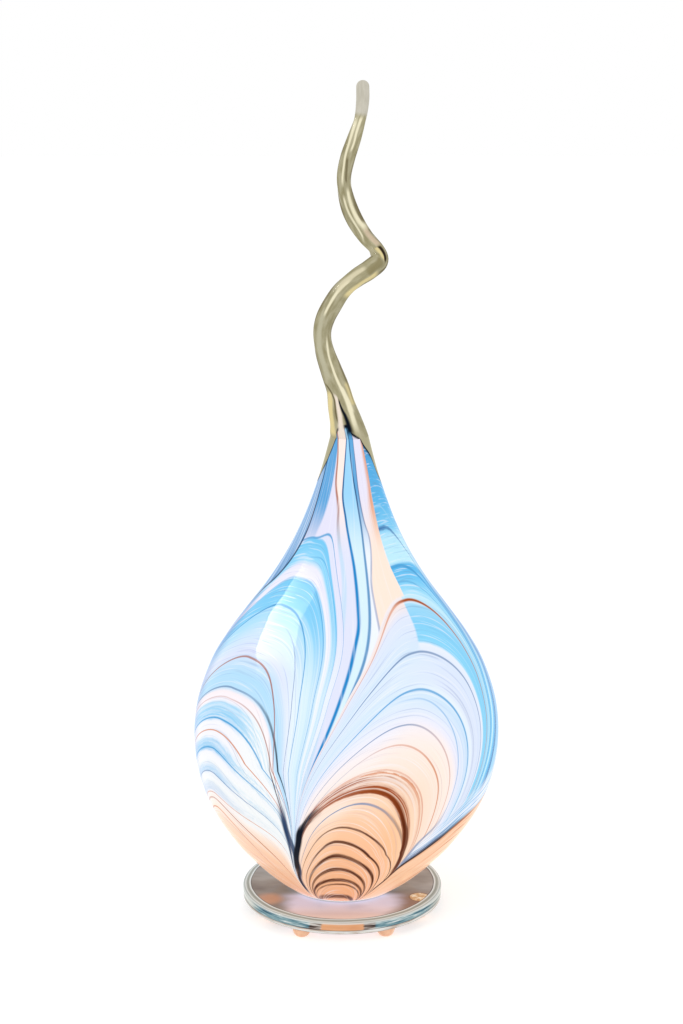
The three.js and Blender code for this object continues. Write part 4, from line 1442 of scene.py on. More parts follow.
# Painted light along the tail: pale highlights of its twist in cream, butter and like tints, and painted
# shade in darker khaki along its edges and at the kink, with a dark spot for the shadow under the loop there.
# The ink line near the foot is the glass's own.
TAIL_HIGHLIGHTS_AND_SHADE = (
    Streak(((0.14, -0.5), (0.24, -0.42), (0.3, -0.36), (0.36, -0.42)), 0.28, 0.3, srgb(208, 203, 174), 0.85),
    Streak(((0, -0.8), (0.05, -0.88), (0.1, -0.78), (0.128, -0.98)), 0.15, 0.22, BUTTER_HIGHLIGHT, 0.95),
    Streak(((0.035, -0.95), (0.07, -0.86), (0.1, -0.78)), 0.25, 0.2, BUTTER_HIGHLIGHT, 0.95),
    Streak(((0.07, 0.96), (0.09, 0.92), (0.13, 0.84)), 0.3, 0.16, srgb(232, 216, 160), 0.9),
    Streak(((0, 0.9), (0.3, 0.98), (0.6, 0.98), (0.92, 0.98)), 0.06, 0.06, KHAKI_PAINTED_SHADE, 0.7),
    Streak(((0, -0.98), (0.3, -0.98), (0.6, -0.99), (0.92, -0.98)), 0.05, 0.05, KHAKI_PAINTED_SHADE, 0.6),
    Streak(
        (
            (0, 0.53), (0.03, 0.51), (0.07, 0.54), (0.11, 0.39), (0.14, 0.25), (0.16, 0.24), (0.2, 0.29),
            (0.25, 0.43), (0.29, 0.52),
        ),
        0.15, 0.09, CREAM_HIGHLIGHT,
    ),
    Streak(((0.05, 0.55), (0.075, 0.54), (0.1, 0.44), (0.125, 0.33)), 0.18, 0.16, CREAM_HIGHLIGHT),
    Streak((
        (0, -0.35), (0.03, -0.33), (0.06, -0.22), (0.09, -0.24), (0.115, -0.46),
    ), 0.2, 0.1, srgb(255, 240, 224)),
    Streak((
        (0.035, -0.46), (0.05, -0.46), (0.085, -0.42), (0.105, -0.5), (0.125, -0.66), (0.15, -0.97),
    ), 0.05, 0.07, KHAKI_PAINTED_SHADE),
    Streak(((0.008, 0.1), (0.025, 0.13), (0.04, 0.12), (0.063, 0.02), (0.098, -0.12)), 0.2, 0.03, INK),
    Streak(((0.335, -0.28), (0.37, -0.33), (0.4, -0.34), (0.44, -0.33)), 0.12, 0.16, CREAM_HIGHLIGHT),
    Streak(((0.4, 0.62), (0.44, 0.66), (0.5, 0.72)), 0.22, 0.26, BUTTER_HIGHLIGHT, 0.9),
    Streak(((0.4, -0.4), (0.44, -0.5), (0.48, -0.55)), 0.3, 0.2, srgb(240, 230, 196), 0.8),
    Streak(((0.475, 0.1), (0.5, 0), (0.52, -0.2)), 0.3, 0.5, srgb(150, 140, 102), 0.85),
    Streak(((0.525, 0.1), (0.545, 0.2), (0.56, 0.25)), 0.36, 0.36, BUTTER_HIGHLIGHT, 0.9),
    # Painted shadow under the loop at the kink
    Streak(((0.526, 0.48), (0.543, 0.56), (0.562, 0.48)), 0.2, 0.2, srgb(48, 36, 28)),
    Streak(((0.5, 0.85), (0.543, 0.96), (0.59, 0.85)), 0.1, 0.1, KHAKI_PAINTED_SHADE, 0.9),
    Streak(((0.565, 0.5), (0.58, 0.5), (0.6, 0.5), (0.63, 0.56)), 0.26, 0.34, srgb(236, 212, 186), 0.65),
    Streak((
        (0.62, 0.7), (0.64, 0.6), (0.66, 0.45), (0.69, 0.38), (0.725, 0.37), (0.757, 0.38),
    ), 0.4, 0.14, CREAM_HIGHLIGHT),
    Streak(((0.6, -0.53), (0.645, -0.17), (0.7, -0.26), (0.74, -0.3)), 0.14, 0.12, CREAM_HIGHLIGHT, 0.9),
    Streak(((0.64, 0.95), (0.7, 0.9), (0.76, 0.95)), 0.2, 0.2, KHAKI_PAINTED_SHADE, 0.8),
    Streak(((0.755, -0.22), (0.79, -0.23), (0.83, -0.43), (0.87, -0.54), (0.93, -0.6)), 0.14, 0.26, CREAM_HIGHLIGHT),
    Streak(((0.845, 0.1), (0.863, 0.16), (0.9, 0.02), (0.93, 0.16)), 0.14, 0.26, CREAM_HIGHLIGHT),
    Streak(((0.77, 0.3), (0.8, 0.2), (0.83, -0.05)), 0.12, 0.16, KHAKI_PAINTED_SHADE, 0.8),
)


class ShadeTail:
    """The tail that is drawn out of the neck while the glass is hot, and twisted."""

    SIDES = 56
    STEPS = 9
    TIP_STEPS = 8
    LEVEL_SHARE = 0.045
    # Painted glow: the tail shines with a light of its own, though no bulb lights it
    GLOW = 0.42
    NECK_TOP = 0.999
    STRANDS_END = (
        (0, -0.015), (0.36, -0.015), (0.38, 0), (0.414, 0.026), (0.5, 0.03), (0.53, 0.014), (0.592, 0),
        (0.61, -0.015), (1, -0.015),
    )

    def __init__(self, shade: ShadeForm, form: TailForm, glass: CasedGlass) -> None:
        """Keep the sizes, and the glass of the body whose strands the tail takes up.

        Args:
            shade: Sizes of the shade.
            form: Sizes of the tail.
            glass: Glass of the shade's body.
        """
        self.shade = shade
        self.form = form
        self.glass = glass

    def line(self) -> list[tuple[Vector, float]]:
        """Give the points of the tail's middle line, each with the tail's radius there.

        Returns:
            Place and radius of each point, in metres.
        """
        form = self.form
        foot = Vector((self.shade.lean, 0, self.shade.lip_height + self.shade.height))
        spots = []
        for side, back, up, thickness in form.line_shares:
            middle = foot + Vector((side * form.sway, back * form.depth, up * form.height))
            spots.append((middle, thickness * self.shade.neck_radius))
        before = (2 * spots[0][0] - spots[1][0], spots[0][1])
        after = (2 * spots[-1][0] - spots[-2][0], spots[-1][1])
        run = [before, *spots, after]
        points = []
        for index in range(1, len(run) - 2):
            around = run[index - 1 : index + 3]
            for step in range(self.STEPS):
                points.append(self.between(around, step / self.STEPS))
        points.append(spots[-1])
        return points

    def between(self, around: Sequence[tuple[Vector, float]], share: float) -> tuple[Vector, float]:
        """Give a point of the line between the middle two of four, with knots spaced by their distance.

        Args:
            around: Place and radius of each of the four.
            share: Way from the second to the third, 0 to 1.

        Returns:
            The point and its radius.
        """
        gaps = [max(NEAR, (b[0] - a[0]).length) ** 0.5 for a, b in zip(around, around[1:])]
        places = [spot[0] for spot in around]
        leaving = self.slope(places[:3], gaps[:2]) * gaps[1]
        arriving = self.slope(places[1:], gaps[1:]) * gaps[1]
        start, end = places[1], places[2]
        cube = 2 * start - 2 * end + leaving + arriving
        square = -3 * start + 3 * end - 2 * leaving - arriving
        middle = cube * share**3 + square * share**2 + leaving * share + start
        return middle, hermite([spot[1] for spot in around], share)

    def slope(self, places: Sequence[Vector], gaps: Sequence[float]) -> Vector:
        """Give the slope at the middle of three places."""
        first, middle, last = places
        return (middle - first) / gaps[0] - (last - first) / (gaps[0] + gaps[1]) + (last - middle) / gaps[1]

    def rings(self) -> list[tuple[Vector, Vector, Vector, float, float]]:
        """Give each ring's middle, its direction to the front and to the side, its radius and its share.

        Returns:
            One row for each ring, from the foot to the tip.
        """
        points = self.line()
        climb = [0.0]
        for (here, _), (there, _) in zip(points, points[1:]):
            climb.append(climb[-1] + (there - here).length)
        rings = []
        for index, (middle, radius) in enumerate(points):
            share = climb[index] / climb[-1]
            low = points[max(0, index - 1)][0]
            high = points[min(len(points) - 1, index + 1)][0]
            along = (high - low).normalized()
            level = min(1, share / self.LEVEL_SHARE)
            along = Vector((0, 0, 1)).lerp(along, level * level * (3 - 2 * level)).normalized()
            front = Vector((0, -1, 0))
            front = (front - along * front.dot(along)).normalized()
            side = along.cross(front)
            rings.append((middle, front, side, radius, share))
        tip, front, side, radius, _ = rings[-1]
        along = front.cross(side)
        for step in range(1, self.TIP_STEPS):
            turn = step / self.TIP_STEPS * math.pi / 2
            middle = tip + along * radius * math.sin(turn)
            rings.append((middle, front, side, radius * math.cos(turn), 1))
        return rings

    def reach(self, turn: float, radius: float, share: float) -> float:
        """Give how far the fluted skin stands from the middle line.

        Args:
            turn: Angle round the tail, in radians.
            radius: The tail's radius there, in metres.
            share: Way up the tail, 0 to 1.

        Returns:
            The distance, in metres.
        """
        form = self.form
        flute = math.cos(form.flutes * (turn + share * form.flute_turns * math.pi)) - 1
        return radius + form.flute_depth * min(1, share * form.flute_turns) * flute

    def mesh(self) -> BMesh:
        """Draw the tail up from its foot, one ring after the other.

        Returns:
            The mesh, with its place on the tail at each vertex.
        """
        bm = bmesh.new()
        front_layer = bm.verts.layers.float.new("tail_front")
        side_layer = bm.verts.layers.float.new("tail_side")
        along_layer = bm.verts.layers.float.new("tail_along")
        rings = self.rings()
        bmesh.ops.create_circle(bm, cap_ends=True, segments=self.SIDES, radius=1)
        spots = list(bm.verts)
        edges = [edge for edge in bm.edges if edge.is_boundary or len(edge.link_faces) == 1]
        for number, ring in enumerate(rings):
            if number:
                made = bmesh.ops.extrude_edge_only(bm, edges=edges)["geom"]
                fresh = [item for item in made if isinstance(item, BMVert)]
                spots = self.paired(spots, fresh)
                edges = [e for e in made if isinstance(e, BMEdge) and set(e.verts) <= set(fresh)]
            middle, front, side, radius, share = ring
            for index, spot in enumerate(spots):
                turn = index / self.SIDES * 2 * math.pi
                away = front * math.cos(turn) + side * math.sin(turn)
                spot.co = middle + away * self.reach(turn, radius, share)
                spot[front_layer] = math.cos(turn)
                spot[side_layer] = math.sin(turn)
                spot[along_layer] = share
        bmesh.ops.holes_fill(bm, edges=edges, sides=self.SIDES)
        bmesh.ops.recalc_face_normals(bm, faces=bm.faces[:])
        smooth(bm, 60)
        return bm

    def paired(self, old: Sequence, fresh: Sequence) -> list:
        """Put the fresh points of an extruded ring in the order of the old ones.

        Args:
            old: Points of the ring before.
            fresh: Points of the new ring, in any order.

        Returns:
            The new ring's points in order.
        """
        wanted = set(fresh)
        ordered = []
        for spot in old:
            ordered.append(next(e.other_vert(spot) for e in spot.link_edges if e.other_vert(spot) in wanted))
        return ordered

    def build(self) -> bpy.types.Object:
        """Make the tail and dress it."""
        finish = self.finish()
        return finished(self.mesh(), "shade_tail_drawn", Body.SHADE, "tail_glass", finish, "shade_tail")

    def streak_group(self) -> bpy.types.NodeTree:
        """Make the group that draws one painted streak of light or shade along the tail, over a colour.

        Returns:
            The group.
        """
        numbers = ("Along", "Side", "Centre", "Start", "End", "Start Width", "End Width", "Strength")
        inputs = {"Under": Colour, "Line": Colour, **{name: float for name in numbers}}
        group = Group("tail streak", inputs, {"Colour": Colour})
        n = group.nodes
        given = group.given
        along, start, end = given["Along"], given["Start"], given["End"]
        share = n.math("DIVIDE", n.minus(along, start), n.minus(end, start), clamp=True)
        width = n.between(share, given["Start Width"], given["End Width"])
        away = n.math("DIVIDE", n.minus(given["Side"], given["Centre"]), width)
        squared = n.times(away, away)
        mask = n.math("EXPONENT", n.times(n.times(squared, squared), -1))
        opening = n.step(share, 0, 0.16)
        closing = n.step(share, 1, 0.84)
        kept = n.times(n.times(opening, closing), given["Strength"])
        inside = n.times(n.math("LESS_THAN", along, end), n.math("GREATER_THAN", along, start))
        kept = n.times(kept, inside)
        group.give("Colour", n.mix(n.times(mask, kept), given["Under"], given["Line"]))
        return group.tree

    def finish(self) -> Finish:
        """Make the khaki glass with painted highlights and painted shade along its twist, over the strands
        that leave the neck.

        Returns:
            The finish.
        """
        finish = Finish("khaki_tail_glass_painted_light")
        n = finish.nodes
        along = n.attribute("tail_along")
        side = n.attribute("tail_side")
        turn = n.math("ARCTAN2", side, n.attribute("tail_front"))
        grain = n.noise(n.vector(n.times(side, 1.5), n.times(along, 16), 0), 1.5, 3)
        colour = n.ramp(grain, (
            (0.36, srgb(163, 155, 120)), (0.5, srgb(178, 171, 137)), (0.64, srgb(192, 185, 154)),
        ))
        group = self.streak_group()
        strands = self.glass.neck(n, n.math("DEGREES", turn), self.NECK_TOP)
        around = n.math("MULTIPLY_ADD", turn, 0.5 / math.pi, 0.5, clamp=True)
        above = n.minus(along, n.curve(around, self.STRANDS_END, -0.02, 0.05))
        colour = n.mix(n.step(above, 0.0015, -0.0005), colour, strands)
        dark = n.times(n.step(above, -0.008, -0.002), n.step(above, 0.004, 0))
        colour = n.mix(dark, colour, INK)
        for streak in TAIL_HIGHLIGHTS_AND_SHADE:
            node = n.use(
                group,
                Under=colour,
                Line=streak.colour,
                Along=along,
                Side=side,
                Centre=n.curve(along, streak.path, -1, 1),
                Start=streak.path[0][0] - 0.004,
                End=streak.path[-1][0] + 0.004,
                Start_Width=streak.start_width,
                End_Width=streak.end_width,
                Strength=streak.strength,
            )
            colour = node.outputs["Colour"]
        frosted = n.step(along, 0.925, 0.94)
        misty = n.ramp(grain, ((0.36, srgb(205, 200, 184)), (0.64, srgb(218, 213, 198))))
        colour = n.mix(frosted, colour, misty)
        # Painted glow: the tail's colours shine as light of their own.
        finish.set(
            Base_Color=n.mix(1, colour, srgb(200, 200, 200), "MULTIPLY"),
            Emission_Color=colour,
            Emission_Strength=self.GLOW,
            Roughness=n.between(frosted, 0.12, 0.5),
            IOR=1.06,
        )
        return finish


@dataclass(frozen=True)
class PlateForm:
    """Sizes of the glass plate that the frame doesn't give, in metres."""

    bevel_width: float = 4.8 * MM
    bevel_height: float = 0.8 * MM
    bore: float = 5.3 * MM
    edge_round: float = 0.9 * MM


class Plate:
    """The round glass plate that the lamp stands on, with a flat bevel round its top."""

    SIDES = 192
    # Painted glow of the plate's painted light; the plate is no lamp
    GLOW = 0.5
    SINK = 4 * MM
    SEEN_FEET = (2, 5)
    BLURRED_FOOT = 5
    BLUR = (12.5 * MM, 4 * MM)
    RING_OUTSIDE = (7.3 * MM, 6.7 * MM)
    RING_INSIDE = (6 * MM, 6.6 * MM)
    DISC_EDGE = (7 * MM, 6.4 * MM)
    BEVEL_START = 60.5 * MM
    BEVEL_SPAN = 6 * MM
    BEVEL_EDGE = (60.6 * MM, 61.1 * MM)
    WALL_EDGE = (65.2 * MM, 65.6 * MM)

    def __init__(self, form: PlateForm) -> None:
        """Keep the sizes and find the plate in the frame."""
        self.form = form
        self.low, self.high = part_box("base_plate")

    def mesh(self) -> BMesh:
        """Turn the plate's section, then round its edges.

        Returns:
            The mesh, in place.
        """
        form = self.form
        radius = (self.high.x - self.low.x) / 2
        top, bottom = self.high.z, self.low.z
        profile = [
            (form.bore, bottom), (radius, bottom), (radius, top - form.bevel_height),
            (radius - form.bevel_width, top), (form.bore, top),
        ]
        bm = turned(profile, self.SIDES, closed=True)
        rims = [edge for edge in level_rings(bm) if edge.verts[0].co.xy.length > radius - NEAR]
        round_off(bm, rims, form.edge_round, segments=5)
        smooth(bm, 25)
        return bm

    def build(self) -> bpy.types.Object:
        """Make the plate and dress it."""
        return finished(self.mesh(), "plate_of_glass", Body.BASE, "plate_glass", self.finish(), "base_plate")

    def finish(self) -> Finish:
        """Make thick glass with painted light: a pool of the lamp's light, painted shade and reflections on
        its top, painted light on its bevel and wall, and the feet as seen through it.

        Returns:
            The finish.
        """
        finish = Finish("thick_plate_glass_painted_light")
        n = finish.nodes
        x, y, z = n.split(n.place())
        reach = n.math("SQRT", n.math("ADD", n.times(x, x), n.times(y, y)))
        colour = self.top(n, x, y)
        colour = self.bevel(n, colour, x, y, reach)
        colour = self.wall(n, colour, x, z, reach)
        # Painted glow: the plate's painted colours shine as light of their own.
        finish.set(
            Base_Color=n.mix(1, colour, srgb(196, 196, 196), "MULTIPLY"),
            Emission_Color=colour,
            Emission_Strength=self.GLOW,
            Roughness=0.05,
            IOR=1.16,
        )
        return finish

    def top(self, n: Nodes, x: Socket, y: Socket) -> Socket:
        """Give the colour of the top, painted: mauve shade, a warm reflection, a pale pool of light, and each
        foot below as seen through the glass.

        Args:
            n: Writer of the material's nodes.
            x: Place along X, in metres.
            y: Place along Y, in metres.

        Returns:
            The colour.
        """
        across = n.math("ABSOLUTE", x)
        outward = n.math("ABSOLUTE", y)
        cloud = n.noise(n.vector(n.times(x, 22), n.times(y, 46), 0), 1, 3)
        colour = n.ramp(cloud, (
            (0.3, srgb(124, 110, 102)), (0.5, srgb(150, 139, 130)), (0.72, srgb(176, 166, 158)),
        ))
        # Painted reflection of the shade's peach glass, on the right of the top.
        warm_painted_reflection = n.times(n.step(x, 0.02, 0.05), n.step(outward, 0.012, 0.03))
        colour = n.mix(n.times(warm_painted_reflection, 0.55), colour, srgb(166, 118, 94))
        light = n.ramp(
            n.step(outward, 0.034, 0.064),
            (
                (0, srgb(222, 216, 236)), (0.35, srgb(234, 216, 222)), (0.7, srgb(230, 202, 196)),
                (1, srgb(246, 214, 198)),
            ),
        )
        light = n.mix(n.step(cloud, 0.45, 0.7, 0, 0.6), light, srgb(206, 192, 204))
        wavy = n.math("MULTIPLY_ADD", cloud, 0.026, n.math("MULTIPLY_ADD", outward, 0.14, across))
        pool = n.times(n.step(wavy, 0.061, 0.045), n.step(outward, 0.018, 0.026))
        colour = n.mix(n.times(pool, 0.92), colour, light)
        # Each foot painted as seen through the glass, with a painted highlight and a dark outline; one foot
        # only as a blurred peach patch.
        for number in self.SEEN_FEET:
            low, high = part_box(f"foot_{number}")
            middle = (low + high) / 2
            seen = middle.y + math.copysign(self.SINK, middle.y)
            aside = n.minus(x, middle.x)
            ahead = n.minus(y, seen)
            away = n.math("ADD", n.times(aside, aside), n.times(ahead, ahead))
            away = n.math("SQRT", away)
            if number == self.BLURRED_FOOT:
                colour = n.mix(n.step(away, *self.BLUR, 0, 0.6), colour, srgb(224, 160, 122))
                continue
            ring = n.times(n.step(away, *self.RING_OUTSIDE), n.step(away, *self.RING_INSIDE))
            painted_gloss = n.noise(n.vector(n.times(aside, 260), n.times(ahead, 260), 0), 1, 2)
            disc = n.ramp(painted_gloss, (
                (0.36, srgb(204, 160, 118)), (0.5, srgb(228, 190, 146)), (0.62, srgb(250, 234, 208)),
            ))
            colour = n.mix(n.step(away, *self.DISC_EDGE), colour, disc)
            colour = n.mix(n.times(ring, 0.7), colour, srgb(122, 88, 66))
        return colour

    def bevel(self, n: Nodes, colour: Socket, x: Socket, y: Socket, reach: Socket) -> Socket:
        """Give the bevel its pale light and the thin dark lines at its edges.

        Args:
            n: Writer of the material's nodes.
            colour: The colour so far.
            x: Place along X, in metres.
            y: Place along Y, in metres.
            reach: Distance from the axis, in metres.

        Returns:
            The colour.
        """
        swirl = n.noise(n.vector(n.times(x, 34), n.times(y, 34), 0), 1, 2)
        start = -self.BEVEL_START / self.BEVEL_SPAN
        across = n.math("MULTIPLY_ADD", reach, 1 / self.BEVEL_SPAN, start, clamp=True)
        across = n.math("MULTIPLY_ADD", n.minus(swirl, 0.5), 0.3, across)
        pale = n.ramp(
            across,
            (
                (0.12, srgb(98, 88, 82)), (0.17, srgb(236, 238, 236)), (0.3, srgb(206, 208, 200)),
                (0.42, srgb(148, 148, 138)), (0.6, srgb(178, 180, 170)), (0.72, srgb(228, 230, 226)),
                (0.86, srgb(170, 176, 170)),
            ),
        )
        return n.mix(n.step(reach, *self.BEVEL_EDGE), colour, pale)

    def wall(self, n: Nodes, colour: Socket, x: Socket, z: Socket, reach: Socket) -> Socket:
        """Paint onto the wall the colours and light that its thickness would bend into it, by how far round
        it is.

        Args:
            n: Writer of the material's nodes.
            colour: The colour so far.
            x: Place along X, in metres.
            z: Place along Z, in metres.
            reach: Distance from the axis, in metres.

        Returns:
            The colour.
        """
        low, high = self.low.z, self.high.z - self.form.bevel_height
        up = n.math("DIVIDE", n.minus(z, low), high - low)
        sideways = n.math("ABSOLUTE", n.math("DIVIDE", x, reach))
        drift = n.noise(n.vector(n.times(x, 25), n.times(up, 1.2), 3), 1, 3)
        streak = n.noise(n.vector(n.times(x, 70), n.times(up, 5), 7), 1, 4)
        teal = n.ramp(
            streak,
            (
                (0.32, srgb(58, 82, 100)), (0.42, srgb(92, 134, 150)), (0.52, srgb(146, 178, 184)),
                (0.64, srgb(236, 242, 240)),
            ),
        )
        peach = n.ramp(drift, ((0.35, srgb(226, 158, 112)), (0.65, srgb(244, 190, 146))))
        brown = n.ramp(streak, (
            (0.36, srgb(66, 54, 52)), (0.5, srgb(140, 126, 118)), (0.6, srgb(212, 208, 202)),
        ))
        pale = n.ramp(streak, (
            (0.34, srgb(120, 136, 134)), (0.5, srgb(190, 196, 188)), (0.64, srgb(226, 228, 220)),
        ))
        wobble = n.math("MULTIPLY_ADD", drift, 0.12, sideways)
        bent = n.mix(n.step(wobble, 0.25, 0.28), peach, brown)
        bent = n.mix(n.step(wobble, 0.37, 0.4), bent, teal)
        bent = n.mix(n.step(wobble, 0.86, 0.98), bent, pale)
        # Painted light and shade across the wall: a pale band low down, a dark seam, a dark foot and a pale
        # top.
        foot_light = n.ramp(streak, (
            (0.38, srgb(196, 178, 164)), (0.5, srgb(226, 226, 220)), (0.6, srgb(240, 240, 238)),
        ))
        bent = n.mix(n.step(up, 0.36, 0.3), bent, foot_light)
        seam = n.times(n.step(up, 0.39, 0.36), n.step(up, 0.3, 0.33, 0, 0.7))
        bent = n.mix(seam, bent, srgb(96, 84, 78))
        bent = n.mix(n.step(up, 0.07, 0.04), bent, srgb(112, 84, 70))
        bent = n.mix(n.times(n.step(up, 0.86, 0.95), 0.8), bent, srgb(224, 228, 224))
        on_wall = n.times(n.step(reach, *self.WALL_EDGE), n.step(z, high + 0.2 * MM, high - 0.1 * MM))
        return n.mix(on_wall, colour, bent)


class Feet:
    """The six clear feet under the plate."""

    SIDES = 48
    ARC_STEPS = 14
    FLAT_SHARE = 0.42
    COUNT = 6

    def mesh(self, name: str) -> BMesh:
        """Turn a flat-bottomed dome the size of one foot of the frame.

        Args:
            name: The foot's node.

        Returns:
            The mesh, in place.
        """
        low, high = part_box(name)
        radius = (high.x - low.x) / 2
        height = high.z - low.z
        flat = radius * self.FLAT_SHARE
        profile = [(0, high.z), (radius, high.z)]
        for step in range(1, self.ARC_STEPS + 1):
            turn = step / self.ARC_STEPS * math.pi / 2
            profile.append((flat + (radius - flat) * math.cos(turn), high.z - height * math.sin(turn)))
        profile.append((0, low.z))
        bm = turned(profile, self.SIDES, closed=False)
        middle = (low + high) / 2
        bmesh.ops.translate(bm, verts=bm.verts[:], vec=(middle.x, middle.y, 0))
        smooth(bm, 40)
        return bm

    def build(self) -> None:
        """Make each foot and dress it."""
        finish = Finish("clear_foot_silicone")
        n = finish.nodes
        grain = n.noise(n.place(), 400, 2)
        colour = n.ramp(grain, ((0.3, srgb(236, 184, 148)), (0.7, srgb(244, 200, 168))))
        # Painted glow: the feet shine as if lit through the plate, though they are no lamp.
        finish.set(Base_Color=colour, Emission_Color=colour, Emission_Strength=0.3, Roughness=0.25, IOR=1.4)
        for number in range(1, self.COUNT + 1):
            name = f"foot_{number}"
            finished(self.mesh(name), f"{name}_dome", Body.BASE, "foot_rubber", finish, name)


@dataclass(frozen=True)
class Climb:
    """A thread that climbs over the part of a wall between two heights, with lengths in millimetres."""

    core: float
    low: float
    high: float
    depth: float
    pitch: float
    run_out: float = 0

    ROWS_A_TURN = 12
    SLACK = 1e-3

    def rows(self) -> list[tuple[float, float]]:
        """Give the points of the bare wall, close enough together for the thread's shape."""
        count = math.ceil((self.high - self.low) / self.pitch * self.ROWS_A_TURN)
        return [(self.core, self.low + (self.high - self.low) * row / count) for row in range(count + 1)]

    def raise_wall(self, bm: BMesh) -> None:
        """Raise the thread out of the turned wall.

        Args:
            bm: The mesh.
        """
        for spot in bm.verts:
            x, y, z = (axis / MM for axis in spot.co)
            reach = math.hypot(x, y)
            if abs(reach - self.core) > self.SLACK or not self.low - self.SLACK < z < self.high + self.SLACK:
                continue
            turn = 2 * math.pi * z / self.pitch - math.atan2(y, x)
            near_end = max(0, min(z - self.low, self.high - z))
            height = min(1, near_end / self.run_out) if self.run_out else 1
            wider = 1 + self.depth * height * (1 + math.cos(turn)) / 2 / reach
            spot.co.x *= wider
            spot.co.y *= wider


@dataclass(frozen=True)
class Fitting:
    """One turned fitting: its node, body and slot, and its section as radius and height in millimetres.

    A section that isn't closed runs from pole to pole. The piece lies over by a tilt about Y, in degrees, and
    then stands on its place.
    """

    node: str
    body: Body
    slot: str
    section: Points
    closed: bool = True
    place: tuple[float, float, float] = (0, 0, 0)
    tilt: float = 0
    rounding: float = 0.12
    thread: Climb | None = None
    hexagon: float = 0


# Radii and heights of the clamp's parts, in millimetres
PLATE_BORE = 5.3
NUT_FLAT = 7
NUT_CORNER = 8.08
NUT_FACE = 7.3
NUT_CHAMFER = 0.45
DOME_STEPS = 6


def washer(node: str, slot: str, radius: float, low: float, high: float) -> Fitting:
    """Give a flat washer with the plate's bore.

    Args:
        node: The washer's node.
        slot: Its material slot.
        radius: Its radius.
        low: Height of its lower face.
        high: Height of its upper face.

    Returns:
        The fitting.
    """
    return Fitting(node, Body.BASE, slot, (
        (PLATE_BORE, low), (radius, low), (radius, high), (PLATE_BORE, high),
    ))


def nut(node: str, low: float, high: float) -> Fitting:
    """Give a hexagon nut, 14 mm across flats, with turned corners.

    Args:
        node: The nut's node.
        low: Height of its lower face.
        high: Height of its upper face.

    Returns:
        The fitting.
    """
    corners = ((NUT_CORNER, low + NUT_CHAMFER), (NUT_CORNER, high - NUT_CHAMFER))
    section = ((PLATE_BORE, low), (NUT_FACE, low), *corners, (NUT_FACE, high), (PLATE_BORE, high))
    return Fitting(node, Body.BASE, "brass", section, rounding=0, hexagon=NUT_FLAT)


def headed_pin(
    node: str, shank: float, length: float, head: float, thickness: float, **where: object
) -> Fitting:
    """Give a pin with a domed head below its place.

    Args:
        node: The pin's node.
        shank: Radius of its shank.
        length: Length of its shank.
        head: Radius of its head.
        thickness: Height of its head.
        where: Its place and tilt.

    Returns:
        The fitting.
    """
    turns = [step / DOME_STEPS * math.pi / 2 for step in range(DOME_STEPS)]
    dome = [(head * math.sin(turn), -thickness * math.cos(turn)) for turn in turns]
    section = (*dome, (head, 0), (shank, 0), (shank, length), (0, length))
    return Fitting(node, Body.BASE, "brass", section, closed=False, rounding=0.1, **where)


NIPPLE_THREAD = Climb(core=4.6, low=3.2, high=22.3, depth=0.4, pitch=1, run_out=0.5)
SHELL_THREAD = Climb(core=5.65, low=41.3, high=56.5, depth=0.62, pitch=2.54)
CAP_THREAD = Climb(core=5.3, low=48.2, high=59.2, depth=0.62, pitch=2.54, run_out=1.27)
GLASS_OUTLINE = (
    (7.2, 68.8), (8.75, 73.1), (12.25, 80.9), (16.1, 90.2), (17.35, 98.7), (16.45, 108.7), (12.78, 119.6),
    (7.53, 130.4), (3.33, 138.2), (0, 142.8),
)

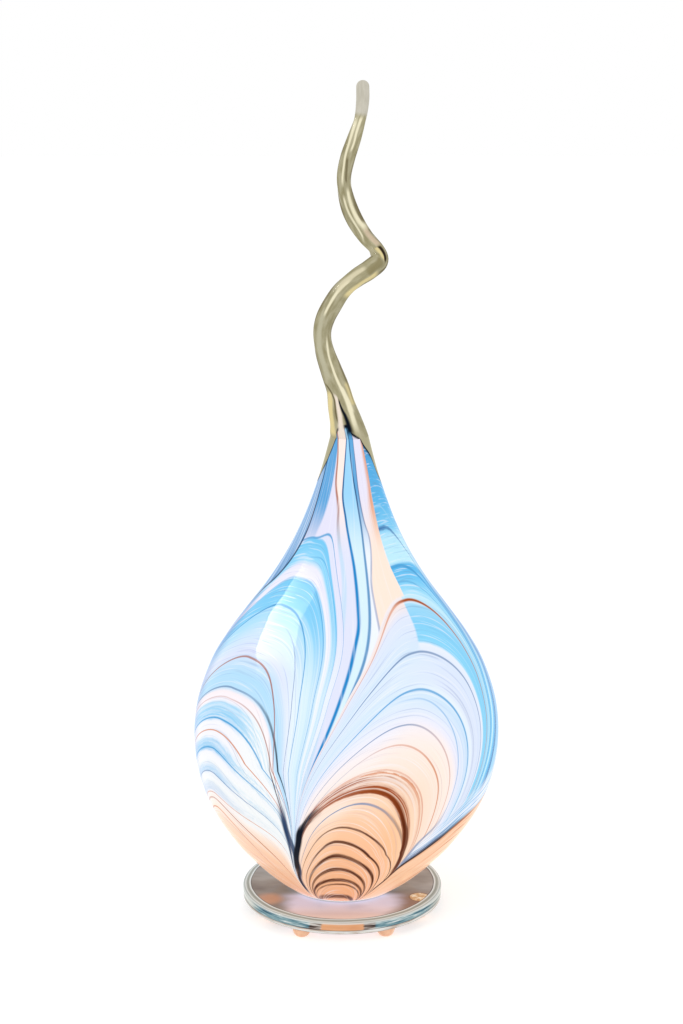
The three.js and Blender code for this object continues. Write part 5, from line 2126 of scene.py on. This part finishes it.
FITTINGS = (
    washer("upper_rubber_washer", "black_rubber", 11, 15.5, 16.3),
    washer("upper_steel_washer", "zinc_steel", 9.5, 16.3, 17.1),
    washer("lower_rubber_washer", "black_rubber", 11, 6.2, 7),
    washer("lower_steel_washer", "zinc_steel", 9.5, 5.4, 6.2),
    nut("lower_nut", 3.4, 5.4),
    nut("upper_nut", 18.3, 20.3),
    Fitting(
        "threaded_nipple", Body.BASE, "zinc_steel", (*NIPPLE_THREAD.rows(), (4, 22.3), (4, 3.2)),
        rounding=0,
        thread=NIPPLE_THREAD,
    ),
    Fitting(
        "cord_bushing", Body.BASE, "nylon",
        ((3.15, 2.6), (4.8, 2.6), (4.8, 3.2), (3.7, 3.2), (3.7, 8.2), (3.15, 8.2)),
    ),
    Fitting(
        "seat_ring", Body.BASE, "clear_silicone",
        ((30.14, 15.5), (35.54, 15.5), (35.54, 16.3), (31.74, 16.3), (31.74, 18.5), (30.14, 18.5)),
        rounding=0.25,
    ),
    Fitting(
        "socket_body", Body.BASE, "phenolic",

        ((1.5, 35.3), (8, 35.3), (8, 30.3), (11, 30.3), (11, 61.3), (7.27, 61.3), (7.27, 41.3), (1.5, 41.3)),
        rounding=0.5,
    ),
    Fitting(
        "screw_shell", Body.BASE, "brass",
        ((6.97, 41.3), (6.97, 57.3), (6.27, 57.3), *reversed(SHELL_THREAD.rows())),
        rounding=0,
        thread=SHELL_THREAD,
    ),
    headed_pin("terminal_screw_1", 1.3, 3.6, 2.5, 1.6, place=(0, -5, 35.3)),
    headed_pin("terminal_screw_2", 1.3, 3.6, 2.5, 1.6, place=(0, 5, 35.3)),
    headed_pin("bracket_rivet_1", 1.5, 4.5, 2.8, 1.2, place=(-12.5, 0, 38.3), tilt=90),
    headed_pin("bracket_rivet_2", 1.5, 4.5, 2.8, 1.2, place=(12.5, 0, 38.3), tilt=-90),
    Fitting(
        "bulb_contact", Body.TIP, "solder",
        (
            (0, 44.8), (0.57, 44.84), (1.1, 44.96), (1.56, 45.15), (1.91, 45.4), (2.13, 45.69), (2.2, 46),
            (0, 46),
        ),
        closed=False,
        rounding=0,
    ),
    Fitting(
        "bulb_insulator", Body.BULB, "dark_glass", ((0, 46), (2.2, 46), (4.6, 48.2), (0, 48.2)),
        closed=False,
    ),
    Fitting(
        "bulb_cap", Body.BULB, "nickel",
        (
            (0, 48.2), *CAP_THREAD.rows(), (5.3, 62.2), (8.3, 64.8), (8.3, 68.8), (7.9, 68.8),
            (7.9, 65.1), (0, 65.1),
        ),
        closed=False,
        rounding=0,
        thread=CAP_THREAD,
    ),
    Fitting(
        "bulb_glass", Body.BULB, "frosted_glass",
        (
            (0, 141.2),
            *((max(0.8, reach - 0.8), up) for reach, up in reversed(catmull(GLASS_OUTLINE, 8)) if up < 140.6),
            (6.4, 65.4), (7.2, 65.4), *catmull(GLASS_OUTLINE, 8),
        ),
        closed=False,
        rounding=0,
    ),
    Fitting(
        "bulb_stem", Body.BULB, "clear_glass",
        ((0, 65.4), (6, 65.4), (4.2, 66.3), (3.2, 67.3), (2.8, 68.4), (2.8, 88.4), (0, 88.4)),
        closed=False,
        rounding=0,
    ),
)


class Fittings:
    """The socket, the bulb and the clamp under them, and the finishes of the frame's own solids."""

    SIDES = 96
    BRACKET_BEND = 1.6
    BEND_STEPS = 6
    BRACKET_METAL = 1.2
    BRACKET_CORNER = 3.5
    SHARP = 30
    GRAIN = 700
    FROSTED_GLOW = 0.12
    PLAIN = {
        "clear_silicone": (srgb(226, 226, 222), 0, 0.3, 0.05),
        "black_rubber": (srgb(40, 40, 42), 0, 0.6, 0.1),
        "zinc_steel": (srgb(190, 192, 196), 1, 0.28, 0.03),
        "brass": (srgb(205, 172, 104), 1, 0.22, 0.02),
        "nylon": (srgb(232, 228, 216), 0, 0.4, 0.05),
        "phenolic": (srgb(52, 44, 40), 0, 0.3, 0.05),
        "nickel": (srgb(206, 204, 198), 1, 0.2, 0.02),
        "frosted_glass": (srgb(246, 244, 238), 0, 0.5, 0.05),
        "clear_glass": (srgb(236, 240, 240), 0, 0.05, 0.01),
        "dark_glass": (srgb(30, 28, 34), 0, 0.1, 0.01),
        "solder": (srgb(178, 178, 180), 1, 0.35, 0.05),
        "wire": (srgb(150, 146, 140), 1, 0.3, 0.01),
        "foot_rubber": (srgb(240, 200, 170), 0, 0.3, 0.02),
        "plate_glass": (srgb(200, 210, 208), 0, 0.1, 0.01),
        "cased_glass": (srgb(220, 226, 240), 0, 0.1, 0.01),
        "tail_glass": (srgb(170, 160, 130), 0, 0.1, 0.01),
    }

    def __init__(self) -> None:
        """Make the finish of each slot."""
        self.finishes = {slot: self.made(slot, *values) for slot, values in self.PLAIN.items()}

    def build(self) -> None:
        """Make every fitting, and dress what is left of the frame's solids."""
        for fitting in FITTINGS:
            self.piece(fitting.node, self.turned_mesh(fitting), fitting.body, fitting.slot)
        self.piece("socket_bracket", self.bracket(), Body.BASE, "zinc_steel")
        self.dress()

    def piece(self, node: str, bm: BMesh, body: Body, slot: str) -> None:
        """Finish the piece that stands for one node."""
        finished(bm, node + "_fine", body, slot, self.finishes[slot], node)

    def turned_mesh(self, fitting: Fitting) -> BMesh:
        """Turn a fitting's section, shape it, and put it in its place.

        Args:
            fitting: The fitting.

        Returns:
            The mesh, in place.
        """
        profile = [(reach * MM, up * MM) for reach, up in fitting.section]
        bm = turned(profile, self.SIDES, fitting.closed)
        if fitting.rounding:
            self.round_edges(bm, fitting.rounding * MM)
        if fitting.hexagon:
            self.cut_flats(bm, fitting.hexagon * MM)
        if fitting.thread:
            fitting.thread.raise_wall(bm)
        if fitting.tilt:
            lie = Matrix.Rotation(math.radians(fitting.tilt), 3, "Y")
            bmesh.ops.rotate(bm, verts=bm.verts[:], cent=(0, 0, 0), matrix=lie)
        bmesh.ops.translate(bm, verts=bm.verts[:], vec=[length * MM for length in fitting.place])
        smooth(bm)
        return bm

    def round_edges(self, bm: BMesh, radius: float) -> None:
        """Round every edge that turns sharply."""
        sharp = [edge for edge in bm.edges if edge.calc_face_angle(0) > math.radians(self.SHARP)]
        round_off(bm, sharp, radius, segments=3, clamp=True)

    def cut_flats(self, bm: BMesh, reach: float) -> None:
        """Cut six flats round a turned nut, two of which face along X.

        Args:
            bm: The mesh.
            reach: Distance from the axis to a flat, in metres.
        """
        for spot in bm.verts:
            turn = (math.atan2(spot.co.y, spot.co.x) + math.pi / 6) % (math.pi / 3) - math.pi / 6
            limit = reach / math.cos(turn)
            radius = math.hypot(spot.co.x, spot.co.y)
            if radius > limit:
                spot.co.x *= limit / radius
                spot.co.y *= limit / radius

    def bend(self, x: float, z: float, radius: float, start: float) -> list[tuple[float, float]]:
        """Give a quarter turn of the bracket's outline, from a start in degrees."""
        turns = [math.radians(start + 90 * step / self.BEND_STEPS) for step in range(self.BEND_STEPS + 1)]
        return [(x + radius * math.cos(turn), z + radius * math.sin(turn)) for turn in turns]

    def bracket(self) -> BMesh:
        """Bend the steel strap that carries the socket, with rounded leg tops.

        Returns:
            The mesh, in place.
        """
        low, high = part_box("socket_bracket")
        outer = high.x / MM
        bottom, top = low.z / MM, high.z / MM
        inner, radius = outer - self.BRACKET_METAL, self.BRACKET_BEND
        floor = bottom + self.BRACKET_METAL
        small = radius - self.BRACKET_METAL
        right = [
            *self.bend(outer - radius, bottom + radius, radius, -90), (outer, top), (inner, top),
            *reversed(self.bend(inner - small, floor + small, small, -90)),
        ]
        left = [(-x, z) for x, z in reversed(right)]
        bm = bmesh.new()
        spots = [bm.verts.new((x * MM, low.y, z * MM)) for x, z in (*right, *left)]
        face = bm.faces.new(spots)
        made = bmesh.ops.extrude_face_region(bm, geom=[face])["geom"]
        fresh = [item for item in made if isinstance(item, BMVert)]
        bmesh.ops.translate(bm, verts=fresh, vec=(0, high.y - low.y, 0))
        bmesh.ops.recalc_face_normals(bm, faces=bm.faces[:])
        corners = [
            edge
            for edge in bm.edges
            if all(abs(spot.co.z - high.z) < NEAR for spot in edge.verts)
            and abs(edge.verts[0].co.y - edge.verts[1].co.y) < NEAR
        ]
        round_off(bm, corners, self.BRACKET_CORNER * MM, segments=8)
        smooth(bm)
        return bm

    def made(self, slot: str, colour: Colour, metallic: float, roughness: float, relief: float) -> Finish:
        """Make a slot's finish, with a grain in its colour, its gloss and its surface.

        Args:
            slot: The slot.
            colour: Its colour.
            metallic: How metallic it is, 0 or 1.
            roughness: Its middle roughness.
            relief: Depth of its grain, in millimetres.

        Returns:
            The finish.
        """
        finish = Finish(slot + "_finish")
        n = finish.nodes
        grain = n.noise(n.place(), self.GRAIN, 3)
        darker = tuple(0.82 * level for level in colour[:3]) + (1,)
        finish.set(
            Base_Color=n.ramp(grain, ((0.3, darker), (0.7, colour))),
            Metallic=metallic,
            Roughness=n.step(grain, 0, 1, roughness * 0.7, roughness * 1.4),
            Normal=n.bump(grain, relief * MM, 0.3),
        )
        if slot == "frosted_glass":
            finish.set(Emission_Color=colour, Emission_Strength=self.FROSTED_GLOW)
        return finish

    def dress(self) -> None:
        """Give each node of the frame the finish of its slot."""
        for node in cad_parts.values():
            for slot in node.material_slots:
                name = slot.material.name.split(".")[0] if slot.material else ""
                if name in self.finishes:
                    slot.material = self.finishes[name].material
                    LOG.info("%s dressed as %s", node.name, name)


@dataclass(frozen=True)
class View:
    """Where the photograph was taken from: place in metres, pitch in degrees, and focal length in pixels."""

    side: float = -0.00055
    back: float = -1.350
    up: float = 0.6079
    pitch: float = 14.039
    focal_pixels: float = 2166
    image_height: int = 1024
    sensor: float = 36


class Studio:
    """Camera, floor, world and lights."""

    LEVEL = 0.62
    FLOOR_REACH = 6
    FLOOR_GLOW = 0.5
    LIGHT_AIM = Vector((0, 0, 0.25))
    LIGHTS = (
        ("key_light", Vector((-1.6, -2.2, 2.2)), (1.6, 1.6), 2.2),
        ("fill_light", Vector((1.9, -1.8, 1.6)), (1.6, 1.6), 1.2),
    )
    CARD_CORNERS = ((-1.6, -3.02, 2.06), (-1.6, -0.87, 0.86), (-1.6, 0.75, 1.06), (-1.6, -0.4, 1.87))
    CARD_RADIANCE = 70
    CARD_INWARD = (-0.585, -0.81, 1.175)
    CARD_FADE = (0.5, -0.05)

    def __init__(self, view: View) -> None:
        """Keep the view."""
        self.view = view

    def camera(self) -> None:
        """Place the camera at the photograph's angle."""
        view = self.view
        data = bpy.data.cameras.new("photo_view")
        data.sensor_width = view.sensor
        data.lens = view.focal_pixels / view.image_height * view.sensor
        camera = bpy.data.objects.new("photo_view", data)
        camera.location = (view.side, view.back, view.up)
        camera.rotation_euler = (math.radians(90 - view.pitch), 0, 0)
        bpy.context.scene.collection.objects.link(camera)
        bpy.context.scene.camera = camera

    def seen(self, n: Nodes) -> Socket:
        """Give 1 for rays that a viewer follows by eye, through glass or by a reflection.

        Args:
            n: Writer of the material's nodes.

        Returns:
            The number.
        """
        path = n.add("ShaderNodeLightPath").outputs
        seen = n.math("MAXIMUM", path["Is Camera Ray"], path["Is Glossy Ray"])
        return n.math("MAXIMUM", seen, path["Is Transmission Ray"])

    def world(self) -> None:
        """Make the world white to the eye and a plain soft light to the object."""
        world = bpy.data.worlds.new("studio_air")
        world.use_nodes = True
        bpy.context.scene.world = world
        n = Nodes(world.node_tree)
        background = world.node_tree.nodes["Background"]
        n.feed(background.inputs["Color"], (1, 1, 1, 1))
        n.feed(background.inputs["Strength"], n.between(self.seen(n), self.LEVEL, 1))

    def floor(self) -> None:
        """Lay a pale floor that takes the object's shadow."""
        bm = bmesh.new()
        bmesh.ops.create_grid(bm, x_segments=4, y_segments=4, size=self.FLOOR_REACH)
        mesh = bpy.data.meshes.new("floor")
        bm.to_mesh(mesh)
        bm.free()
        floor = bpy.data.objects.new("floor", mesh)
        bpy.context.scene.collection.objects.link(floor)
        finish = Finish("pale_floor")
        n = finish.nodes
        seen = self.seen(n)
        finish.set(
            Base_Color=srgb(236, 236, 236),
            Roughness=0.9,
            Emission_Color=(1, 1, 1, 1),
            Emission_Strength=n.times(seen, self.FLOOR_GLOW),
        )
        finish.shader.inputs["Specular IOR Level"].default_value = 0
        mesh.materials.append(finish.material)

    def light(
        self, name: str, place: Vector, aim: Vector, size: tuple[float, float], radiance: float
    ) -> bpy.types.Object:
        """Hang a soft rectangular light that faces a point.

        Args:
            name: The light's name.
            place: Its middle, in metres.
            aim: The point that it faces.
            size: Its width and height, in metres.
            radiance: Its brightness, where 1 looks white.

        Returns:
            The light.
        """
        data = bpy.data.lights.new(name, "AREA")
        data.shape = "RECTANGLE"
        data.size, data.size_y = size
        data.energy = radiance * math.pi * size[0] * size[1]
        light = bpy.data.objects.new(name, data)
        light.location = place
        light.rotation_euler = (aim - place).to_track_quat("-Z", "Y").to_euler()
        bpy.context.scene.collection.objects.link(light)
        return light

    def lights(self) -> None:
        """Hang two plain soft lights, and a bright card that only shows as a reflection in gloss."""
        for name, place, size, radiance in self.LIGHTS:
            light = self.light(name, place, self.LIGHT_AIM, size, radiance)
            light.visible_glossy = False
            light.visible_transmission = False
        self.card("left_card", self.CARD_CORNERS, self.CARD_RADIANCE)

    def card(self, name: str, corners: Sequence[tuple], radiance: float) -> None:
        """Stand up a bright card that only shows as a reflection in gloss, and fades to one side.

        Args:
            name: The card's name.
            corners: Its corners, in metres.
            radiance: Its brightness, where 1 looks white.
        """
        bm = bmesh.new()
        spots = [bm.verts.new(corner) for corner in corners]
        bmesh.ops.contextual_create(bm, geom=spots)
        mesh = bpy.data.meshes.new(name)
        bm.to_mesh(mesh)
        bm.free()
        card = bpy.data.objects.new(name, mesh)
        bpy.context.scene.collection.objects.link(card)
        finish = Finish(name + "_light")
        n = finish.nodes
        _, y, z = n.split(n.place())
        by_y, by_z, start = self.CARD_INWARD
        inward = n.math("MULTIPLY_ADD", y, by_y, n.math("MULTIPLY_ADD", z, by_z, start))
        soft = n.times(n.step(inward, *self.CARD_FADE), radiance)
        finish.set(Base_Color=(0, 0, 0, 1), Roughness=1, Emission_Color=(1, 1, 1, 1), Emission_Strength=soft)
        finish.shader.inputs["Specular IOR Level"].default_value = 0
        mesh.materials.append(finish.material)
        card.visible_camera = False
        card.visible_diffuse = False
        card.visible_transmission = False
        card.visible_shadow = False

    def build(self) -> None:
        """Set up the whole studio."""
        bpy.context.scene.view_settings.view_transform = "Standard"
        self.camera()
        self.world()
        self.floor()
        self.lights()


def main() -> None:
    """Build the studio and the lamp."""
    logging.basicConfig(level=logging.INFO, format="%(name)s: %(message)s")
    Studio(View()).build()
    shade = ShadeForm()
    Fittings().build()
    glass = CasedGlass(shade)
    ShadeBody(shade, glass).build()
    ShadeTail(shade, TailForm(), glass).build()
    Plate(PlateForm()).build()
    Feet().build()


if __name__ == "__main__":
    main()
